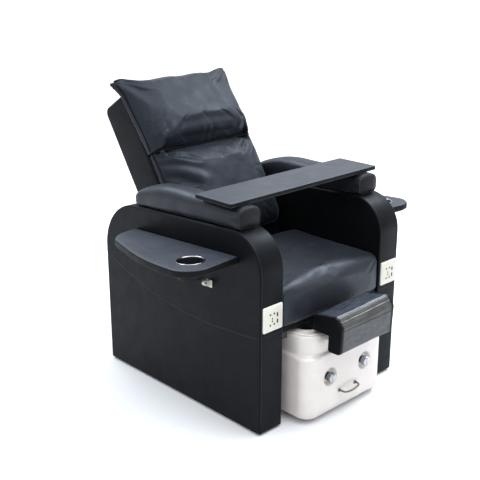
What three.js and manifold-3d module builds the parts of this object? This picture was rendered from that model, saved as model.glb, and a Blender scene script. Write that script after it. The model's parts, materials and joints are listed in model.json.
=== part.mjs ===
// Pedicure spa chair: a reclining upholstered chair between two side panels, with trays, a lift-off
// manicure board and a foot tub that rolls out from under the seat. Millimetres, +Z up, front towards -Y.
import * as THREE from 'three';
import { mergeVertices } from 'three/addons/utils/BufferGeometryUtils.js';
import Module from 'manifold-3d';

const wasm = await Module();
wasm.setup();

// ---------- Driving dimensions ----------
// The build frame has x = 0 on the centre plane, y = 0 on the panels' front faces and z = 0 on the floor.
const FIT = 0.3; // gap between pieces that touch
const SLIP = 1; // gap round a piece that drops in by hand

const PANEL_DEPTH = 812;
const PANEL_OUTER_X = 350;
const PANEL_WIDTH = 104;
const PANEL_TOP_FRONT = 688; // height of the top line where it meets the front face
const PANEL_TOP_SLOPE = 0.0557; // fall of the top line per unit of depth
const PANEL_FRONT_RADIUS = 125;
const PANEL_REAR_RADIUS = 160;
const PANEL_WALL = 12;
const PANEL_FLOOR_GAP = 6;
const FRAME_BAR = 30;

const SEAT_TOP = 495;
const SEAT_THICKNESS = 140;
const SEAT_LENGTH = 425;
const SEAT_SIDE_GAP = 5;
const SEAT_NOSE_RADIUS = 42;
const DECK_THICKNESS = 19;
const RAIL_WIDTH = 40;
const RAIL_HEIGHT = 30;

const BACK_ANGLE = 32; // degrees from vertical at rest
const BACK_SIDE_GAP = 8;
const HINGE_BEHIND_SEAT = 102.9;
const HINGE_BELOW_SEAT_TOP = 47;
const HINGE_PIN_RADIUS = 6;
const ROD_NOTCH_HALF = 32;
const ROD_NOTCH_HEIGHT = 42;
// Heights along the back from the hinge, and depths square to it.
const SHELL_DEPTH = 137;
const SHELL_AHEAD = 53.3;
const SHELL_BELOW = 59.7;
const SHELL_RISE = 635.3;
const SHELL_WALL = 8;
const CUSHION_RISE = 25.3;
const CREASE_RISE = 387.3;
const PILLOW_RISE = 676.3;
const PILLOW_EAR = 27; // how far the pillow's top corners stand out past the back

const BOLSTER_HALF_WIDTH = 51;
const BOLSTER_FRONT = 105;
const BOLSTER_REAR = 645;
const BOLSTER_TOP = 754;

const BOARD_FRONT = 122;
const BOARD_DEPTH = 170;
const BOARD_OVERHANG = 11; // past the panel's outer face
const BOARD_THICKNESS = 15;

const TRAY_THICKNESS = 28;
const TRAY_DROP = 80; // from the panel's top line to the tray's upper face
const TRAY_FRONT = 100;
const TRAY_REAR = 615;
const TRAY_REACH = 225;
const CUP_RADIUS = 44;
const CUP_DEPTH = 55;
const CUP_FROM_PANEL = 126;
const CUP_Y = 182;

const PLATE_SIZE = 86;
const PLATE_THICKNESS = 6;
const PLATE_Z = 409.5;
const SOCKET_BOX = 60;
const SOCKET_BOX_DEPTH = 38;

const TUB_HALF_WIDTH = 203;
const TUB_FRONT = -75;
const TUB_REAR = 400;
const TUB_BOTTOM = 14;
const TUB_LEDGE = 246;
const TUB_RIM = 318;
const TUB_CORNER = 48;
const TUB_WALL = 5;
const BASIN_WALL = 4;
const BASIN_RIM_THICKNESS = 4;
const BASIN_FLOOR = 100;
const WHEEL_RADIUS = 20;
const WHEEL_WIDTH = 14;
const WHEEL_FROM_SIDE = 46;
const WHEEL_INSET = 8; // of the axles from the ends of the tub's corner arcs
const AXLE_RADIUS = 4;

const KNOB_X = 90;
const KNOB_Z = 155;
const KNOB_RADIUS = 16;
const HANDLE_SPAN = 84;
const HANDLE_Z = 88;
const HANDLE_REACH = 22;
const HANDLE_RADIUS = 4;

const FOOTREST_HALF_WIDTH = 138;

const ACTUATOR_LEVER = 85; // from the back's hinge to the rod's pin
const ACTUATOR_LENGTH = 305; // between the actuator's two pins at rest
const ACTUATOR_RADIUS = 21;
const ROD_RADIUS = 10;
const ACTUATOR_PIN_RADIUS = 5;
const OPEN_PIVOT_CLEARANCE = 5;

// ---------- Derived dimensions ----------
const PANEL_INNER_X = PANEL_OUTER_X - PANEL_WIDTH;
const PANEL_MID_X = PANEL_OUTER_X - PANEL_WIDTH / 2;
const SEAT_BOTTOM = SEAT_TOP - SEAT_THICKNESS;
const DECK_TOP = SEAT_BOTTOM - FIT;
const RAIL_TOP = DECK_TOP - DECK_THICKNESS - FIT;
const RAIL_BOTTOM = RAIL_TOP - RAIL_HEIGHT;
const BACK_TILT = THREE.MathUtils.degToRad(BACK_ANGLE);
const BACK_HALF_WIDTH = PANEL_INNER_X - BACK_SIDE_GAP;
const HINGE_Y = SEAT_LENGTH + HINGE_BEHIND_SEAT;
const HINGE_Z = SEAT_TOP - HINGE_BELOW_SEAT_TOP;
// The back's own frame turns with it: n points rearwards and u up the back.
const HINGE_U = HINGE_Y * Math.sin(BACK_TILT) + HINGE_Z * Math.cos(BACK_TILT);
const HINGE_N = HINGE_Y * Math.cos(BACK_TILT) - HINGE_Z * Math.sin(BACK_TILT);
const SHELL_FRONT = HINGE_N - SHELL_AHEAD;
const SHELL_BOTTOM = HINGE_U - SHELL_BELOW;
const SHELL_TOP = HINGE_U + SHELL_RISE;
const CUSHION_BOTTOM = HINGE_U + CUSHION_RISE;
const CREASE = HINGE_U + CREASE_RISE;
const PILLOW_TOP = HINGE_U + PILLOW_RISE;
const PILLOW_EAR_X = BACK_HALF_WIDTH + PILLOW_EAR;
const HINGE_PLATE_X = BACK_HALF_WIDTH - SHELL_WALL - 8;
const HINGE_PLATE = 5;
const LUG_U = HINGE_U - ACTUATOR_LEVER;
const CLEVIS_N = HINGE_N + ACTUATOR_LENGTH;
const CLEVIS_Y = CLEVIS_N * Math.cos(BACK_TILT) + LUG_U * Math.sin(BACK_TILT);
const CLEVIS_Z = LUG_U * Math.cos(BACK_TILT) - CLEVIS_N * Math.sin(BACK_TILT);
const BOARD_HALF_LENGTH = PANEL_OUTER_X + BOARD_OVERHANG;
const BOARD_BOTTOM = BOLSTER_TOP + FIT;
const SHELL_RIM = TUB_RIM - BASIN_RIM_THICKNESS - FIT;
const BASE_BOARD_BOTTOM = 2 * WHEEL_RADIUS + 8;
const BASE_BOARD_THICKNESS = 12;
const WHEEL_X = TUB_HALF_WIDTH - WHEEL_FROM_SIDE;
const WHEEL_Y = [TUB_FRONT + TUB_CORNER + WHEEL_INSET, TUB_REAR - TUB_CORNER - WHEEL_INSET];

const panelTopAt = (y) => PANEL_TOP_FRONT - PANEL_TOP_SLOPE * y;
const trayTopAt = (y) => panelTopAt(y) - TRAY_DROP;

// ---------- Materials ----------
const material = (color, roughness, metalness) =>
  new THREE.MeshStandardMaterial({ color, roughness, metalness });
const leather = material(0x24272c, 0.45, 0);
const dullLeather = material(0x1d1f22, 0.6, 0);
const acrylic = material(0xefecea, 0.2, 0);
const creamPlastic = material(0xefeadc, 0.4, 0);
const blackPlastic = material(0x151515, 0.4, 0);
const chrome = material(0xc9ccd0, 0.12, 1);
const steel = material(0x3a3d40, 0.45, 0.8);
const timber = material(0xb08d62, 0.8, 0);
const rubber = material(0x1a1a1a, 0.85, 0);

// ---------- Geometry helpers ----------
// A closed three.js geometry as a manifold-3d solid, turned the right way out.
function toSolid(geometry) {
  const bare = geometry.clone();
  bare.deleteAttribute('normal');
  bare.deleteAttribute('uv');
  const merged = mergeVertices(bare, 1e-3);
  const triVerts = new Uint32Array(merged.index.array);
  const vertProperties = merged.attributes.position.array;
  const made = new wasm.Manifold(new wasm.Mesh({ numProp: 3, vertProperties, triVerts }));
  if (made.volume() >= 0) return made;
  for (let i = 0; i < triVerts.length; i += 3) {
    [triVerts[i + 1], triVerts[i + 2]] = [triVerts[i + 2], triVerts[i + 1]];
  }
  return new wasm.Manifold(new wasm.Mesh({ numProp: 3, vertProperties, triVerts }));
}

function toGeometry(solid) {
  const { vertProperties, triVerts } = solid.getMesh();
  const geometry = new THREE.BufferGeometry();
  geometry.setAttribute('position', new THREE.BufferAttribute(vertProperties, 3));
  geometry.setIndex(new THREE.BufferAttribute(triVerts, 1));
  return geometry;
}

const joined = (parts) => parts.reduce((all, next) => all.add(next));
const without = (body, cuts) => cuts.reduce((rest, cut) => rest.subtract(cut), body);

function box(x0, x1, y0, y1, z0, z1) {
  const geometry = new THREE.BoxGeometry(x1 - x0, y1 - y0, z1 - z0);
  return toSolid(geometry.translate((x0 + x1) / 2, (y0 + y1) / 2, (z0 + z1) / 2));
}

// Points of a polygon whose corners [a, b, radius] are rounded by tangent arcs.
function roundedOutline(corners, steps = 6) {
  const points = [];
  corners.forEach(([a, b, radius], i) => {
    const corner = new THREE.Vector2(a, b);
    const before = corners[(i + corners.length - 1) % corners.length];
    const after = corners[(i + 1) % corners.length];
    const back = new THREE.Vector2(before[0], before[1]).sub(corner).normalize();
    const ahead = new THREE.Vector2(after[0], after[1]).sub(corner).normalize();
    if (!radius) {
      points.push(corner);
      return;
    }
    const half = Math.acos(THREE.MathUtils.clamp(back.dot(ahead), -1, 1)) / 2;
    const centre = back.clone().add(ahead).normalize().multiplyScalar(radius / Math.sin(half)).add(corner);
    const start = back.clone().multiplyScalar(radius / Math.tan(half)).add(corner).sub(centre);
    const end = ahead.clone().multiplyScalar(radius / Math.tan(half)).add(corner).sub(centre);
    const sweep = Math.atan2(start.cross(end), start.dot(end));
    for (let k = 0; k <= steps; k++) {
      points.push(start.clone().rotateAround(new THREE.Vector2(), (sweep * k) / steps).add(centre));
    }
  });
  return points;
}

const ALONG_X = new THREE.Matrix4().set(0, 0, 1, 0, 1, 0, 0, 0, 0, 1, 0, 0, 0, 0, 0, 1);
const ALONG_MINUS_Y = new THREE.Matrix4().set(1, 0, 0, 0, 0, 0, -1, 0, 0, 1, 0, 0, 0, 0, 0, 1);

function extruded(points, depth) {
  return new THREE.ExtrudeGeometry(new THREE.Shape(points), { depth, bevelEnabled: false });
}

// An outline in (y, z) carried along X, one in (x, z) along Y, and one in (x, y) along Z.
const extrudeX = (points, x0, x1) =>
  toSolid(extruded(points, x1 - x0).applyMatrix4(ALONG_X).translate(x0, 0, 0));
const extrudeY = (points, y0, y1) =>
  toSolid(extruded(points, y1 - y0).applyMatrix4(ALONG_MINUS_Y).translate(0, y1, 0));
const extrudeZ = (points, z0, z1) => toSolid(extruded(points, z1 - z0).translate(0, 0, z0));

// A solid skinned over rings of points, all with the same number of points.
function loft(rings) {
  const count = rings[0].length;
  const positions = rings.flat().flatMap((p) => [p.x, p.y, p.z]);
  const index = [];
  for (let r = 0; r + 1 < rings.length; r++) {
    for (let i = 0; i < count; i++) {
      const a = r * count + i;
      const b = r * count + ((i + 1) % count);
      index.push(a, b, b + count, a, b + count, a + count);
    }
  }
  for (const [ring, flip] of [[0, true], [rings.length - 1, false]]) {
    const middle = positions.length / 3;
    const centre = new THREE.Vector3();
    rings[ring].forEach((p) => centre.addScaledVector(p, 1 / count));
    positions.push(centre.x, centre.y, centre.z);
    for (let i = 0; i < count; i++) {
      const a = ring * count + i;
      const b = ring * count + ((i + 1) % count);
      index.push(...(flip ? [middle, b, a] : [middle, a, b]));
    }
  }
  const geometry = new THREE.BufferGeometry();
  geometry.setAttribute('position', new THREE.Float32BufferAttribute(positions, 3));
  geometry.setIndex(index);
  return toSolid(geometry);
}

const rectangle = (a0, a1, b0, b1, radius) => [
  [a0, b0, radius],
  [a1, b0, radius],
  [a1, b1, radius],
  [a0, b1, radius],
];

// A cylinder from one point to another.
function rod(from, to, radius, sides = 20) {
  const axis = new THREE.Vector3().subVectors(to, from);
  const geometry = new THREE.CylinderGeometry(radius, radius, axis.length(), sides);
  const turn = new THREE.Quaternion().setFromUnitVectors(
    new THREE.Vector3(0, 1, 0),
    axis.clone().normalize(),
  );
  const middle = new THREE.Vector3().addVectors(from, to).multiplyScalar(0.5);
  return toSolid(geometry.applyQuaternion(turn).translate(middle.x, middle.y, middle.z));
}

const v = (x, y, z) => new THREE.Vector3(x, y, z);
const rodX = (x0, x1, y, z, radius, sides) => rod(v(x0, y, z), v(x1, y, z), radius, sides);
const rodY = (x, y0, y1, z, radius, sides) => rod(v(x, y0, z), v(x, y1, z), radius, sides);
const rodZ = (x, y, z0, z1, radius, sides) => rod(v(x, y, z0), v(x, y, z1), radius, sides);

// The same solid on the other side of the centre plane, when the side is +1.
const onSide = (solid, side) => (side < 0 ? solid : solid.mirror([1, 0, 0]));
const SIDES = [
  ['left', -1],
  ['right', 1],
];

// ---------- Scene graph ----------
const chair = new THREE.Group();
const back = new THREE.Group();
back.rotation.x = -BACK_TILT;
chair.add(back);

function place(name, solid, finish, group = chair) {
  const mesh = new THREE.Mesh(toGeometry(solid), finish);
  mesh.name = name;
  group.add(mesh);
}

// ---------- Side panels ----------
function panelOutline(inset, bottom) {
  const front = inset;
  const rear = PANEL_DEPTH - inset;
  const outline = rectangle(front, rear, bottom, 0, 0);
  outline[2] = [rear, panelTopAt(rear) - inset, PANEL_REAR_RADIUS - inset];
  outline[3] = [front, panelTopAt(front) - inset, PANEL_FRONT_RADIUS - inset];
  return roundedOutline(outline, 10);
}

const BOLT_Y = [110, 390];
const BOLT_RADIUS = 5;
const INLET_Z = 90;
const INLET_HALF = 14;
const INLET_BODY_DEPTH = 30;

function panelCover(hasInlet) {
  const outer = extrudeX(panelOutline(0, PANEL_FLOOR_GAP), -PANEL_OUTER_X, -PANEL_INNER_X);
  const hollow = extrudeX(
    panelOutline(PANEL_WALL, 0),
    -PANEL_OUTER_X + PANEL_WALL,
    -PANEL_INNER_X - PANEL_WALL,
  );
  const half = SOCKET_BOX / 2 + SLIP;
  const cuts = [hollow];
  cuts.push(box(-PANEL_MID_X - half, -PANEL_MID_X + half, -5, 50, PLATE_Z - half, PLATE_Z + half));
  for (const y of BOLT_Y) {
    const z = RAIL_BOTTOM + RAIL_HEIGHT / 2;
    cuts.push(rodX(-PANEL_INNER_X - 2 * PANEL_WALL, -PANEL_INNER_X + 5, y, z, BOLT_RADIUS + SLIP, 16));
  }
  if (hasInlet) {
    const hole = INLET_HALF + FIT;
    const y = PANEL_DEPTH;
    cuts.push(box(-PANEL_MID_X - hole, -PANEL_MID_X + hole, y - 30, y + 5, INLET_Z - hole, INLET_Z + hole));
  }
  return without(outer, cuts);
}

const FRAME_GAP = 3;
const FRAME_BOTTOM = PANEL_FLOOR_GAP + 8;

function panelFrame(hasInlet) {
  const inset = PANEL_WALL + FRAME_GAP;
  const outer = panelOutline(inset, FRAME_BOTTOM);
  const inner = panelOutline(inset + FRAME_BAR, FRAME_BOTTOM + FRAME_BAR);
  const x0 = -PANEL_MID_X - FRAME_BAR / 2;
  const x1 = -PANEL_INNER_X - PANEL_WALL - FRAME_GAP;
  const loop = extrudeX(outer, x0, x1).subtract(extrudeX(inner, x0 - 5, x1 + 5));
  const bearer = box(x0, x1, inset + 5, PANEL_DEPTH - inset - 5, RAIL_BOTTOM, RAIL_TOP);
  const glideHoles = GLIDE_Y.map((y) =>
    rodZ(-PANEL_MID_X, y, 0, FRAME_BOTTOM + GLIDE_THREAD + 2, GLIDE_STEM + FIT, 16),
  );
  const boltHoles = BOLT_Y.map((y) => {
    const z = RAIL_BOTTOM + RAIL_HEIGHT / 2;
    return rodX(-PANEL_MID_X, x1 + 5, y, z, BOLT_RADIUS + FIT, 16);
  });
  const boxRoom = SOCKET_BOX / 2 + SLIP;
  const boxBack = SOCKET_BOX_DEPTH + SLIP;
  const socketRoom = box(x0 - 5, x1 + 5, 0, boxBack, PLATE_Z - boxRoom, PLATE_Z + boxRoom);
  const inletTop = INLET_Z + INLET_HALF + SLIP;
  const inletBottom = INLET_Z - INLET_HALF - SLIP;
  const inletFront = PANEL_DEPTH - INLET_BODY_DEPTH - SLIP;
  const inletRoom = box(x0 - 5, x1 + 5, inletFront, PANEL_DEPTH, inletBottom, inletTop);
  const rooms = hasInlet ? [socketRoom, inletRoom] : [socketRoom];
  return without(joined([loop, bearer]), [...glideHoles, ...boltHoles, ...rooms]);
}

const GLIDE_Y = [70, PANEL_DEPTH - 70];
const GLIDE_RADIUS = 22;
const GLIDE_STEM = 5;
const GLIDE_THREAD = 18;

function glide(y) {
  const foot = rodZ(-PANEL_MID_X, y, 0, 9, GLIDE_RADIUS);
  return foot.add(rodZ(-PANEL_MID_X, y, 5, FRAME_BOTTOM + GLIDE_THREAD, GLIDE_STEM, 16));
}

// Offsets from the plate's centre: round pin holes [x, z], and slots [x, z, width, height].
const PIN_HOLES = [
  [-14, 16],
  [4, 16],
  [-14, -20],
  [4, -20],
];
const PLATE_SLOTS = [
  [-5, 0, 3, 5],
  [-5, -8, 3, 5],
  [18, 9, 5, 12],
  [18, -13, 5, 12],
];

// Wall-type plate with mains pin holes and two charging slots, in one piece with its back box.
function socket(mirrored) {
  const half = PLATE_SIZE / 2;
  const corners = rectangle(-half, half, PLATE_Z - half, PLATE_Z + half, 4);
  const plate = extrudeY(roundedOutline(corners, 3), -PLATE_THICKNESS - FIT, -FIT);
  const inner = SOCKET_BOX / 2;
  const backBox = box(-inner, inner, -FIT - 1, SOCKET_BOX_DEPTH, PLATE_Z - inner, PLATE_Z + inner);
  const face = -PLATE_THICKNESS - FIT;
  const pinHole = ([x, z]) => rodY(x, face - 2, face + 12, PLATE_Z + z, 2.6, 12);
  const slot = ([x, z, w, h]) =>
    box(x - w / 2, x + w / 2, face - 2, face + 12, PLATE_Z + z - h / 2, PLATE_Z + z + h / 2);
  const solid = without(plate.add(backBox), [...PIN_HOLES.map(pinHole), ...PLATE_SLOTS.map(slot)]);
  return solid.translate([mirrored ? PANEL_MID_X : -PANEL_MID_X, 0, 0]);
}

function inlet() {
  const half = INLET_HALF;
  const x = PANEL_MID_X;
  const face = PANEL_DEPTH + FIT;
  const body = box(x - half, x + half, face - INLET_BODY_DEPTH, face + 1, INLET_Z - half, INLET_Z + half);
  const flangeHalf = half + 6;
  const z0 = INLET_Z - flangeHalf;
  const z1 = INLET_Z + flangeHalf;
  const flange = box(x - flangeHalf, x + flangeHalf, face, face + 3, z0, z1);
  const recess = box(x - 11, x + 11, face - 18, face + 10, INLET_Z - 8, INLET_Z + 8);
  const pins = [-6, 0, 6].map((dx) => box(x + dx - 1, x + dx + 1, face - 20, face - 4, INLET_Z - 3, INLET_Z + 3));
  return joined([body.add(flange).subtract(recess), ...pins]);
}

for (const [side, sign] of SIDES) {
  place(`panel_cover_${side}`, onSide(panelCover(sign > 0), sign), dullLeather);
  place(`panel_frame_${side}`, onSide(panelFrame(sign > 0), sign), timber);
  place(`socket_plate_${side}`, socket(sign > 0), creamPlastic);
  GLIDE_Y.forEach((y, i) => {
    place(`glide_${i ? 'rear' : 'front'}_${side}`, onSide(glide(y), sign), rubber);
  });
}
place('power_inlet', inlet(), blackPlastic);

// ---------- Arm bolsters ----------
// Ring of a bolster's cross-section at one depth: flat below, crowned above, pulled in near the ends.
function bolsterRing(y, shrink) {
  const x = -(PANEL_INNER_X - 1 + BOLSTER_HALF_WIDTH);
  const bottom = panelTopAt(y) + FIT + 1;
  const height = BOLSTER_TOP - bottom;
  const half = BOLSTER_HALF_WIDTH - shrink;
  const low = bottom + shrink * 0.4;
  const high = bottom + height - shrink;
  const corners = [
    [-half, low, 14],
    [half, low, 14],
    [half, high, 30],
    [-half, high, 30],
  ];
  return roundedOutline(corners, 4).map((p) => v(x + p.x, y, p.y));
}

function bolster() {
  const stations = [
    [BOLSTER_FRONT, 7],
    [BOLSTER_FRONT + 3, 3],
    [BOLSTER_FRONT + 10, 0.5],
    [BOLSTER_FRONT + 25, 0],
    [BOLSTER_REAR - 60, 0],
    [BOLSTER_REAR - 32, 3],
    [BOLSTER_REAR - 12, 9],
    [BOLSTER_REAR, 18],
  ];
  return loft(stations.map(([y, shrink]) => bolsterRing(y, shrink)));
}

for (const [side, sign] of SIDES) {
  place(`arm_bolster_${side}`, onSide(bolster(), sign), leather);
}

// ---------- Side trays ----------
function trayOutline(grow) {
  const wall = -PANEL_OUTER_X - FIT;
  const corners = [
    [wall, TRAY_FRONT - grow, 0],
    [wall - TRAY_REACH - grow, TRAY_FRONT - 22 - grow, 70],
    [wall - TRAY_REACH + 3 - grow, TRAY_FRONT + 190, 260],
    [wall - TRAY_REACH + 85 - grow, TRAY_REAR - 15 + grow, 80],
    [wall, TRAY_REAR + 12 + grow, 0],
  ];
  return roundedOutline(corners, 8);
}

function tray() {
  const levels = [
    [-TRAY_THICKNESS, -7],
    [-TRAY_THICKNESS + 4, -2],
    [-TRAY_THICKNESS / 2, 0],
    [-4, -2],
    [0, -7],
  ];
  const body = loft(
    levels.map(([dz, grow]) => trayOutline(grow).map((p) => v(p.x, p.y, trayTopAt(p.y) + dz))),
  );
  const normal = v(0, PANEL_TOP_SLOPE, 1).normalize();
  const centre = v(-PANEL_OUTER_X - CUP_FROM_PANEL, CUP_Y, trayTopAt(CUP_Y));
  const below = centre.clone().addScaledVector(normal, -2 * TRAY_THICKNESS);
  const above = centre.clone().addScaledVector(normal, TRAY_THICKNESS);
  return body.subtract(rod(below, above, CUP_RADIUS + SLIP, 28));
}

const CUP_RIM = 4;
const CUP_WALL = 2;

// Turned cup with a flat rim, tilted with the tray so that the rim lies on the leather.
function cupLiner() {
  const profile = [
    [0, -CUP_DEPTH],
    [CUP_RADIUS - 6, -CUP_DEPTH],
    [CUP_RADIUS, -CUP_DEPTH + 8],
    [CUP_RADIUS, FIT],
    [CUP_RADIUS + CUP_RIM, FIT],
    [CUP_RADIUS + CUP_RIM - 1, FIT + 2],
    [CUP_RADIUS - CUP_WALL, FIT + 2],
    [CUP_RADIUS - CUP_WALL, -CUP_DEPTH + 8],
    [CUP_RADIUS - 8, -CUP_DEPTH + CUP_WALL],
    [0, -CUP_DEPTH + CUP_WALL],
  ];
  const turned = new THREE.LatheGeometry(profile.map(([r, z]) => new THREE.Vector2(r, z)), 28);
  turned.rotateX(Math.PI / 2 - Math.atan(PANEL_TOP_SLOPE));
  turned.translate(-PANEL_OUTER_X - CUP_FROM_PANEL, CUP_Y, trayTopAt(CUP_Y) + FIT);
  return toSolid(turned);
}

const LUG_Y = 235;
const LUG_Z = 475;

// Moulded catch on the panel's outer face below the tray, for the tray's strap.
function trayCatch() {
  const wall = -PANEL_OUTER_X - FIT;
  const base = box(wall - 3, wall, LUG_Y - 13, LUG_Y + 13, LUG_Z - 13, LUG_Z + 13);
  const nose = roundedOutline([
    [wall - 2, LUG_Z - 10, 0],
    [wall - 30, LUG_Z + 2, 5],
    [wall - 30, LUG_Z + 15, 5],
    [wall - 2, LUG_Z + 12, 0],
  ]);
  const arm = extrudeY(nose, LUG_Y - 6, LUG_Y + 6);
  return base.add(arm).subtract(rodY(wall - 22, LUG_Y - 10, LUG_Y + 10, LUG_Z + 7, 3.5, 16));
}

for (const [side, sign] of SIDES) {
  place(`side_tray_${side}`, onSide(tray(), sign), leather);
  place(`cup_liner_${side}`, onSide(cupLiner(), sign), blackPlastic);
  place(`tray_catch_${side}`, onSide(trayCatch(), sign), creamPlastic);
}

// ---------- Recline switch on the right panel ----------
const SWITCH_Y = 330;
const SWITCH_Z = 500;
const SWITCH_PLATE = 3;
const SWITCH_PITCH = 24;
const BUTTON_RADIUS = 8;
const BUTTON_PROUD = 5;
const BUTTON_TRAVEL = 2.5;

function switchPlate() {
  const wall = PANEL_OUTER_X + FIT;
  const corners = rectangle(SWITCH_Y - 30, SWITCH_Y + 30, SWITCH_Z - 18, SWITCH_Z + 18, 8);
  const plate = extrudeX(roundedOutline(corners, 4), wall, wall + SWITCH_PLATE + BUTTON_TRAVEL);
  const wells = [-1, 1].map((k) =>
    rodX(wall + 1, wall + 20, SWITCH_Y + (k * SWITCH_PITCH) / 2, SWITCH_Z, BUTTON_RADIUS + FIT),
  );
  return without(plate, wells);
}

function button(k) {
  const wall = PANEL_OUTER_X + FIT + 1;
  const x0 = wall + BUTTON_TRAVEL + FIT;
  const x1 = PANEL_OUTER_X + SWITCH_PLATE + BUTTON_TRAVEL + BUTTON_PROUD;
  return rodX(x0, x1, SWITCH_Y + (k * SWITCH_PITCH) / 2, SWITCH_Z, BUTTON_RADIUS);
}

place('switch_plate', switchPlate(), blackPlastic);
place('button_recline', button(1), blackPlastic);
place('button_upright', button(-1), blackPlastic);

// ---------- Seat ----------
// Rail on the panel's inner face, with its bolts and the plate that carries the back's hinge pin.
const HINGE_PLATE_WIDTH = 26;

function seatRail() {
  const wall = -PANEL_INNER_X + FIT;
  const rail = box(wall, wall + RAIL_WIDTH, 20, 500, RAIL_BOTTOM, RAIL_TOP);
  const bolts = BOLT_Y.map((y) =>
    rodX(-PANEL_MID_X + 3, wall + 2, y, RAIL_BOTTOM + RAIL_HEIGHT / 2, BOLT_RADIUS, 16),
  );
  const half = HINGE_PLATE_WIDTH / 2;
  const lean = 0.75; // the plate leans forwards going down, in line with the back
  const footY = HINGE_Y - lean * (HINGE_Z - RAIL_TOP) + 4;
  const web = roundedOutline([
    [footY - half - 6, RAIL_TOP - 5, 0],
    [footY + half + 6, RAIL_TOP - 5, 0],
    [HINGE_Y + half, HINGE_Z + half, 8],
    [HINGE_Y - half, HINGE_Z + half, 8],
  ]);
  const plate = extrudeX(web, -HINGE_PLATE_X - HINGE_PLATE, -HINGE_PLATE_X);
  const hole = rodX(-PANEL_INNER_X, -HINGE_PLATE_X + 5, HINGE_Y, HINGE_Z, HINGE_PIN_RADIUS + FIT);
  return joined([rail, ...bolts, plate]).subtract(hole);
}

const BACK_BAR = 25;
const BACK_BAR_X = HINGE_PLATE_X - 2;

function hingePin() {
  const tip = -BACK_BAR_X + BACK_BAR + 4;
  const head = -HINGE_PLATE_X - HINGE_PLATE - FIT;
  const shank = rodX(head, tip, HINGE_Y, HINGE_Z, HINGE_PIN_RADIUS);
  return shank.add(rodX(head - 2, head, HINGE_Y, HINGE_Z, HINGE_PIN_RADIUS + 3));
}

for (const [side, sign] of SIDES) {
  place(`seat_rail_${side}`, onSide(seatRail(), sign), steel);
  place(`hinge_pin_${side}`, onSide(hingePin(), sign), steel);
}

const CROSS_BAR_Y = 405;

function crossBar() {
  const reach = PANEL_INNER_X - RAIL_WIDTH - 2 * FIT;
  return box(-reach, reach, CROSS_BAR_Y, CROSS_BAR_Y + 15, RAIL_BOTTOM + 14, RAIL_TOP);
}

function seatDeck() {
  const half = PANEL_INNER_X - SEAT_SIDE_GAP;
  return box(-half, half, 12, SEAT_LENGTH - 2, DECK_TOP - DECK_THICKNESS, DECK_TOP);
}

function seatCushion() {
  const outline = roundedOutline([
    [0, SEAT_BOTTOM, 10],
    [SEAT_LENGTH, SEAT_BOTTOM, 6],
    [SEAT_LENGTH, SEAT_TOP, 25],
    [0, SEAT_TOP, SEAT_NOSE_RADIUS],
  ]);
  const half = PANEL_INNER_X - SEAT_SIDE_GAP;
  return extrudeX(outline, -half, half);
}

place('seat_cross_bar', crossBar(), steel);
place('seat_deck', seatDeck(), timber);
place('seat_cushion', seatCushion(), leather);

// ---------- Rear: beam, cover, actuator clevis and power supply ----------
const REAR_COVER = 14;
const REAR_COVER_TOP = 455;
const BEAM = 25;
const BEAM_Y = PANEL_DEPTH - REAR_COVER - BEAM - 5;
const CHEEK = 6;
const EYE_HALF = 10; // half-thickness of the actuator's eyes

function rearBeam() {
  const reach = PANEL_INNER_X - FIT;
  return box(-reach, reach, BEAM_Y, BEAM_Y + BEAM, CLEVIS_Z - BEAM / 2, CLEVIS_Z + BEAM / 2);
}

function rearCover() {
  const reach = PANEL_INNER_X - FIT;
  const y1 = PANEL_DEPTH - 3;
  return box(-reach, reach, y1 - REAR_COVER, y1, 30, REAR_COVER_TOP);
}

function actuatorClevis() {
  const rear = BEAM_Y - FIT;
  const gap = EYE_HALF + 1;
  const pieces = [box(-gap - CHEEK, gap + CHEEK, rear - 5, rear, CLEVIS_Z - 16, CLEVIS_Z + 16)];
  for (const sign of [-1, 1]) {
    const x0 = sign < 0 ? -gap - CHEEK : gap;
    pieces.push(box(x0, x0 + CHEEK, CLEVIS_Y - 3, rear - 1, CLEVIS_Z - 11, CLEVIS_Z + 11));
    pieces.push(rodX(x0, x0 + CHEEK, CLEVIS_Y, CLEVIS_Z, 11));
  }
  pieces.push(rodX(-gap - CHEEK - 3, gap + CHEEK + 3, CLEVIS_Y, CLEVIS_Z, ACTUATOR_PIN_RADIUS));
  return joined(pieces);
}

const SUPPLY_X = 60;

function powerSupply() {
  const x1 = PANEL_INNER_X - FIT;
  const outline = roundedOutline(rectangle(x1 - SUPPLY_X, x1, 600, 720, 6), 3);
  const body = extrudeZ(outline, 70, 130);
  const fins = [0, 1, 2, 3].map((i) => box(x1 - SUPPLY_X - 5, x1 - SUPPLY_X + 7, 615 + i * 26, 624 + i * 26, 80, 120));
  return without(body, fins);
}

place('rear_beam', rearBeam(), steel);
place('rear_cover', rearCover(), dullLeather);
place('actuator_clevis', actuatorClevis(), steel);
place('power_supply', powerSupply(), blackPlastic);

// ---------- Linear actuator, drawn in the back's frame: n rearwards, u up ----------
const HOUSING_START = 22;
const HOUSING_END = 215;

function actuatorHousing() {
  const n = (distance) => CLEVIS_N - distance;
  const body = rodY(0, n(HOUSING_END), n(HOUSING_START), LUG_U, ACTUATOR_RADIUS);
  const eye = rodX(-EYE_HALF, EYE_HALF, CLEVIS_N, LUG_U, 11);
  const neck = box(-EYE_HALF, EYE_HALF, n(HOUSING_START) - 4, CLEVIS_N, LUG_U - 9, LUG_U + 9);
  const motor = rodY(0, n(140), n(HOUSING_START + 10), LUG_U - 38, 20);
  const web = box(-12, 12, n(80), n(HOUSING_START + 14), LUG_U - 38, LUG_U);
  const pinHole = rodX(-30, 30, CLEVIS_N, LUG_U, ACTUATOR_PIN_RADIUS + FIT);
  const bore = rodY(0, n(HOUSING_END) - 5, n(70), LUG_U, ROD_RADIUS + FIT);
  return without(joined([body, eye, neck, motor, web]), [pinHole, bore]);
}

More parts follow.
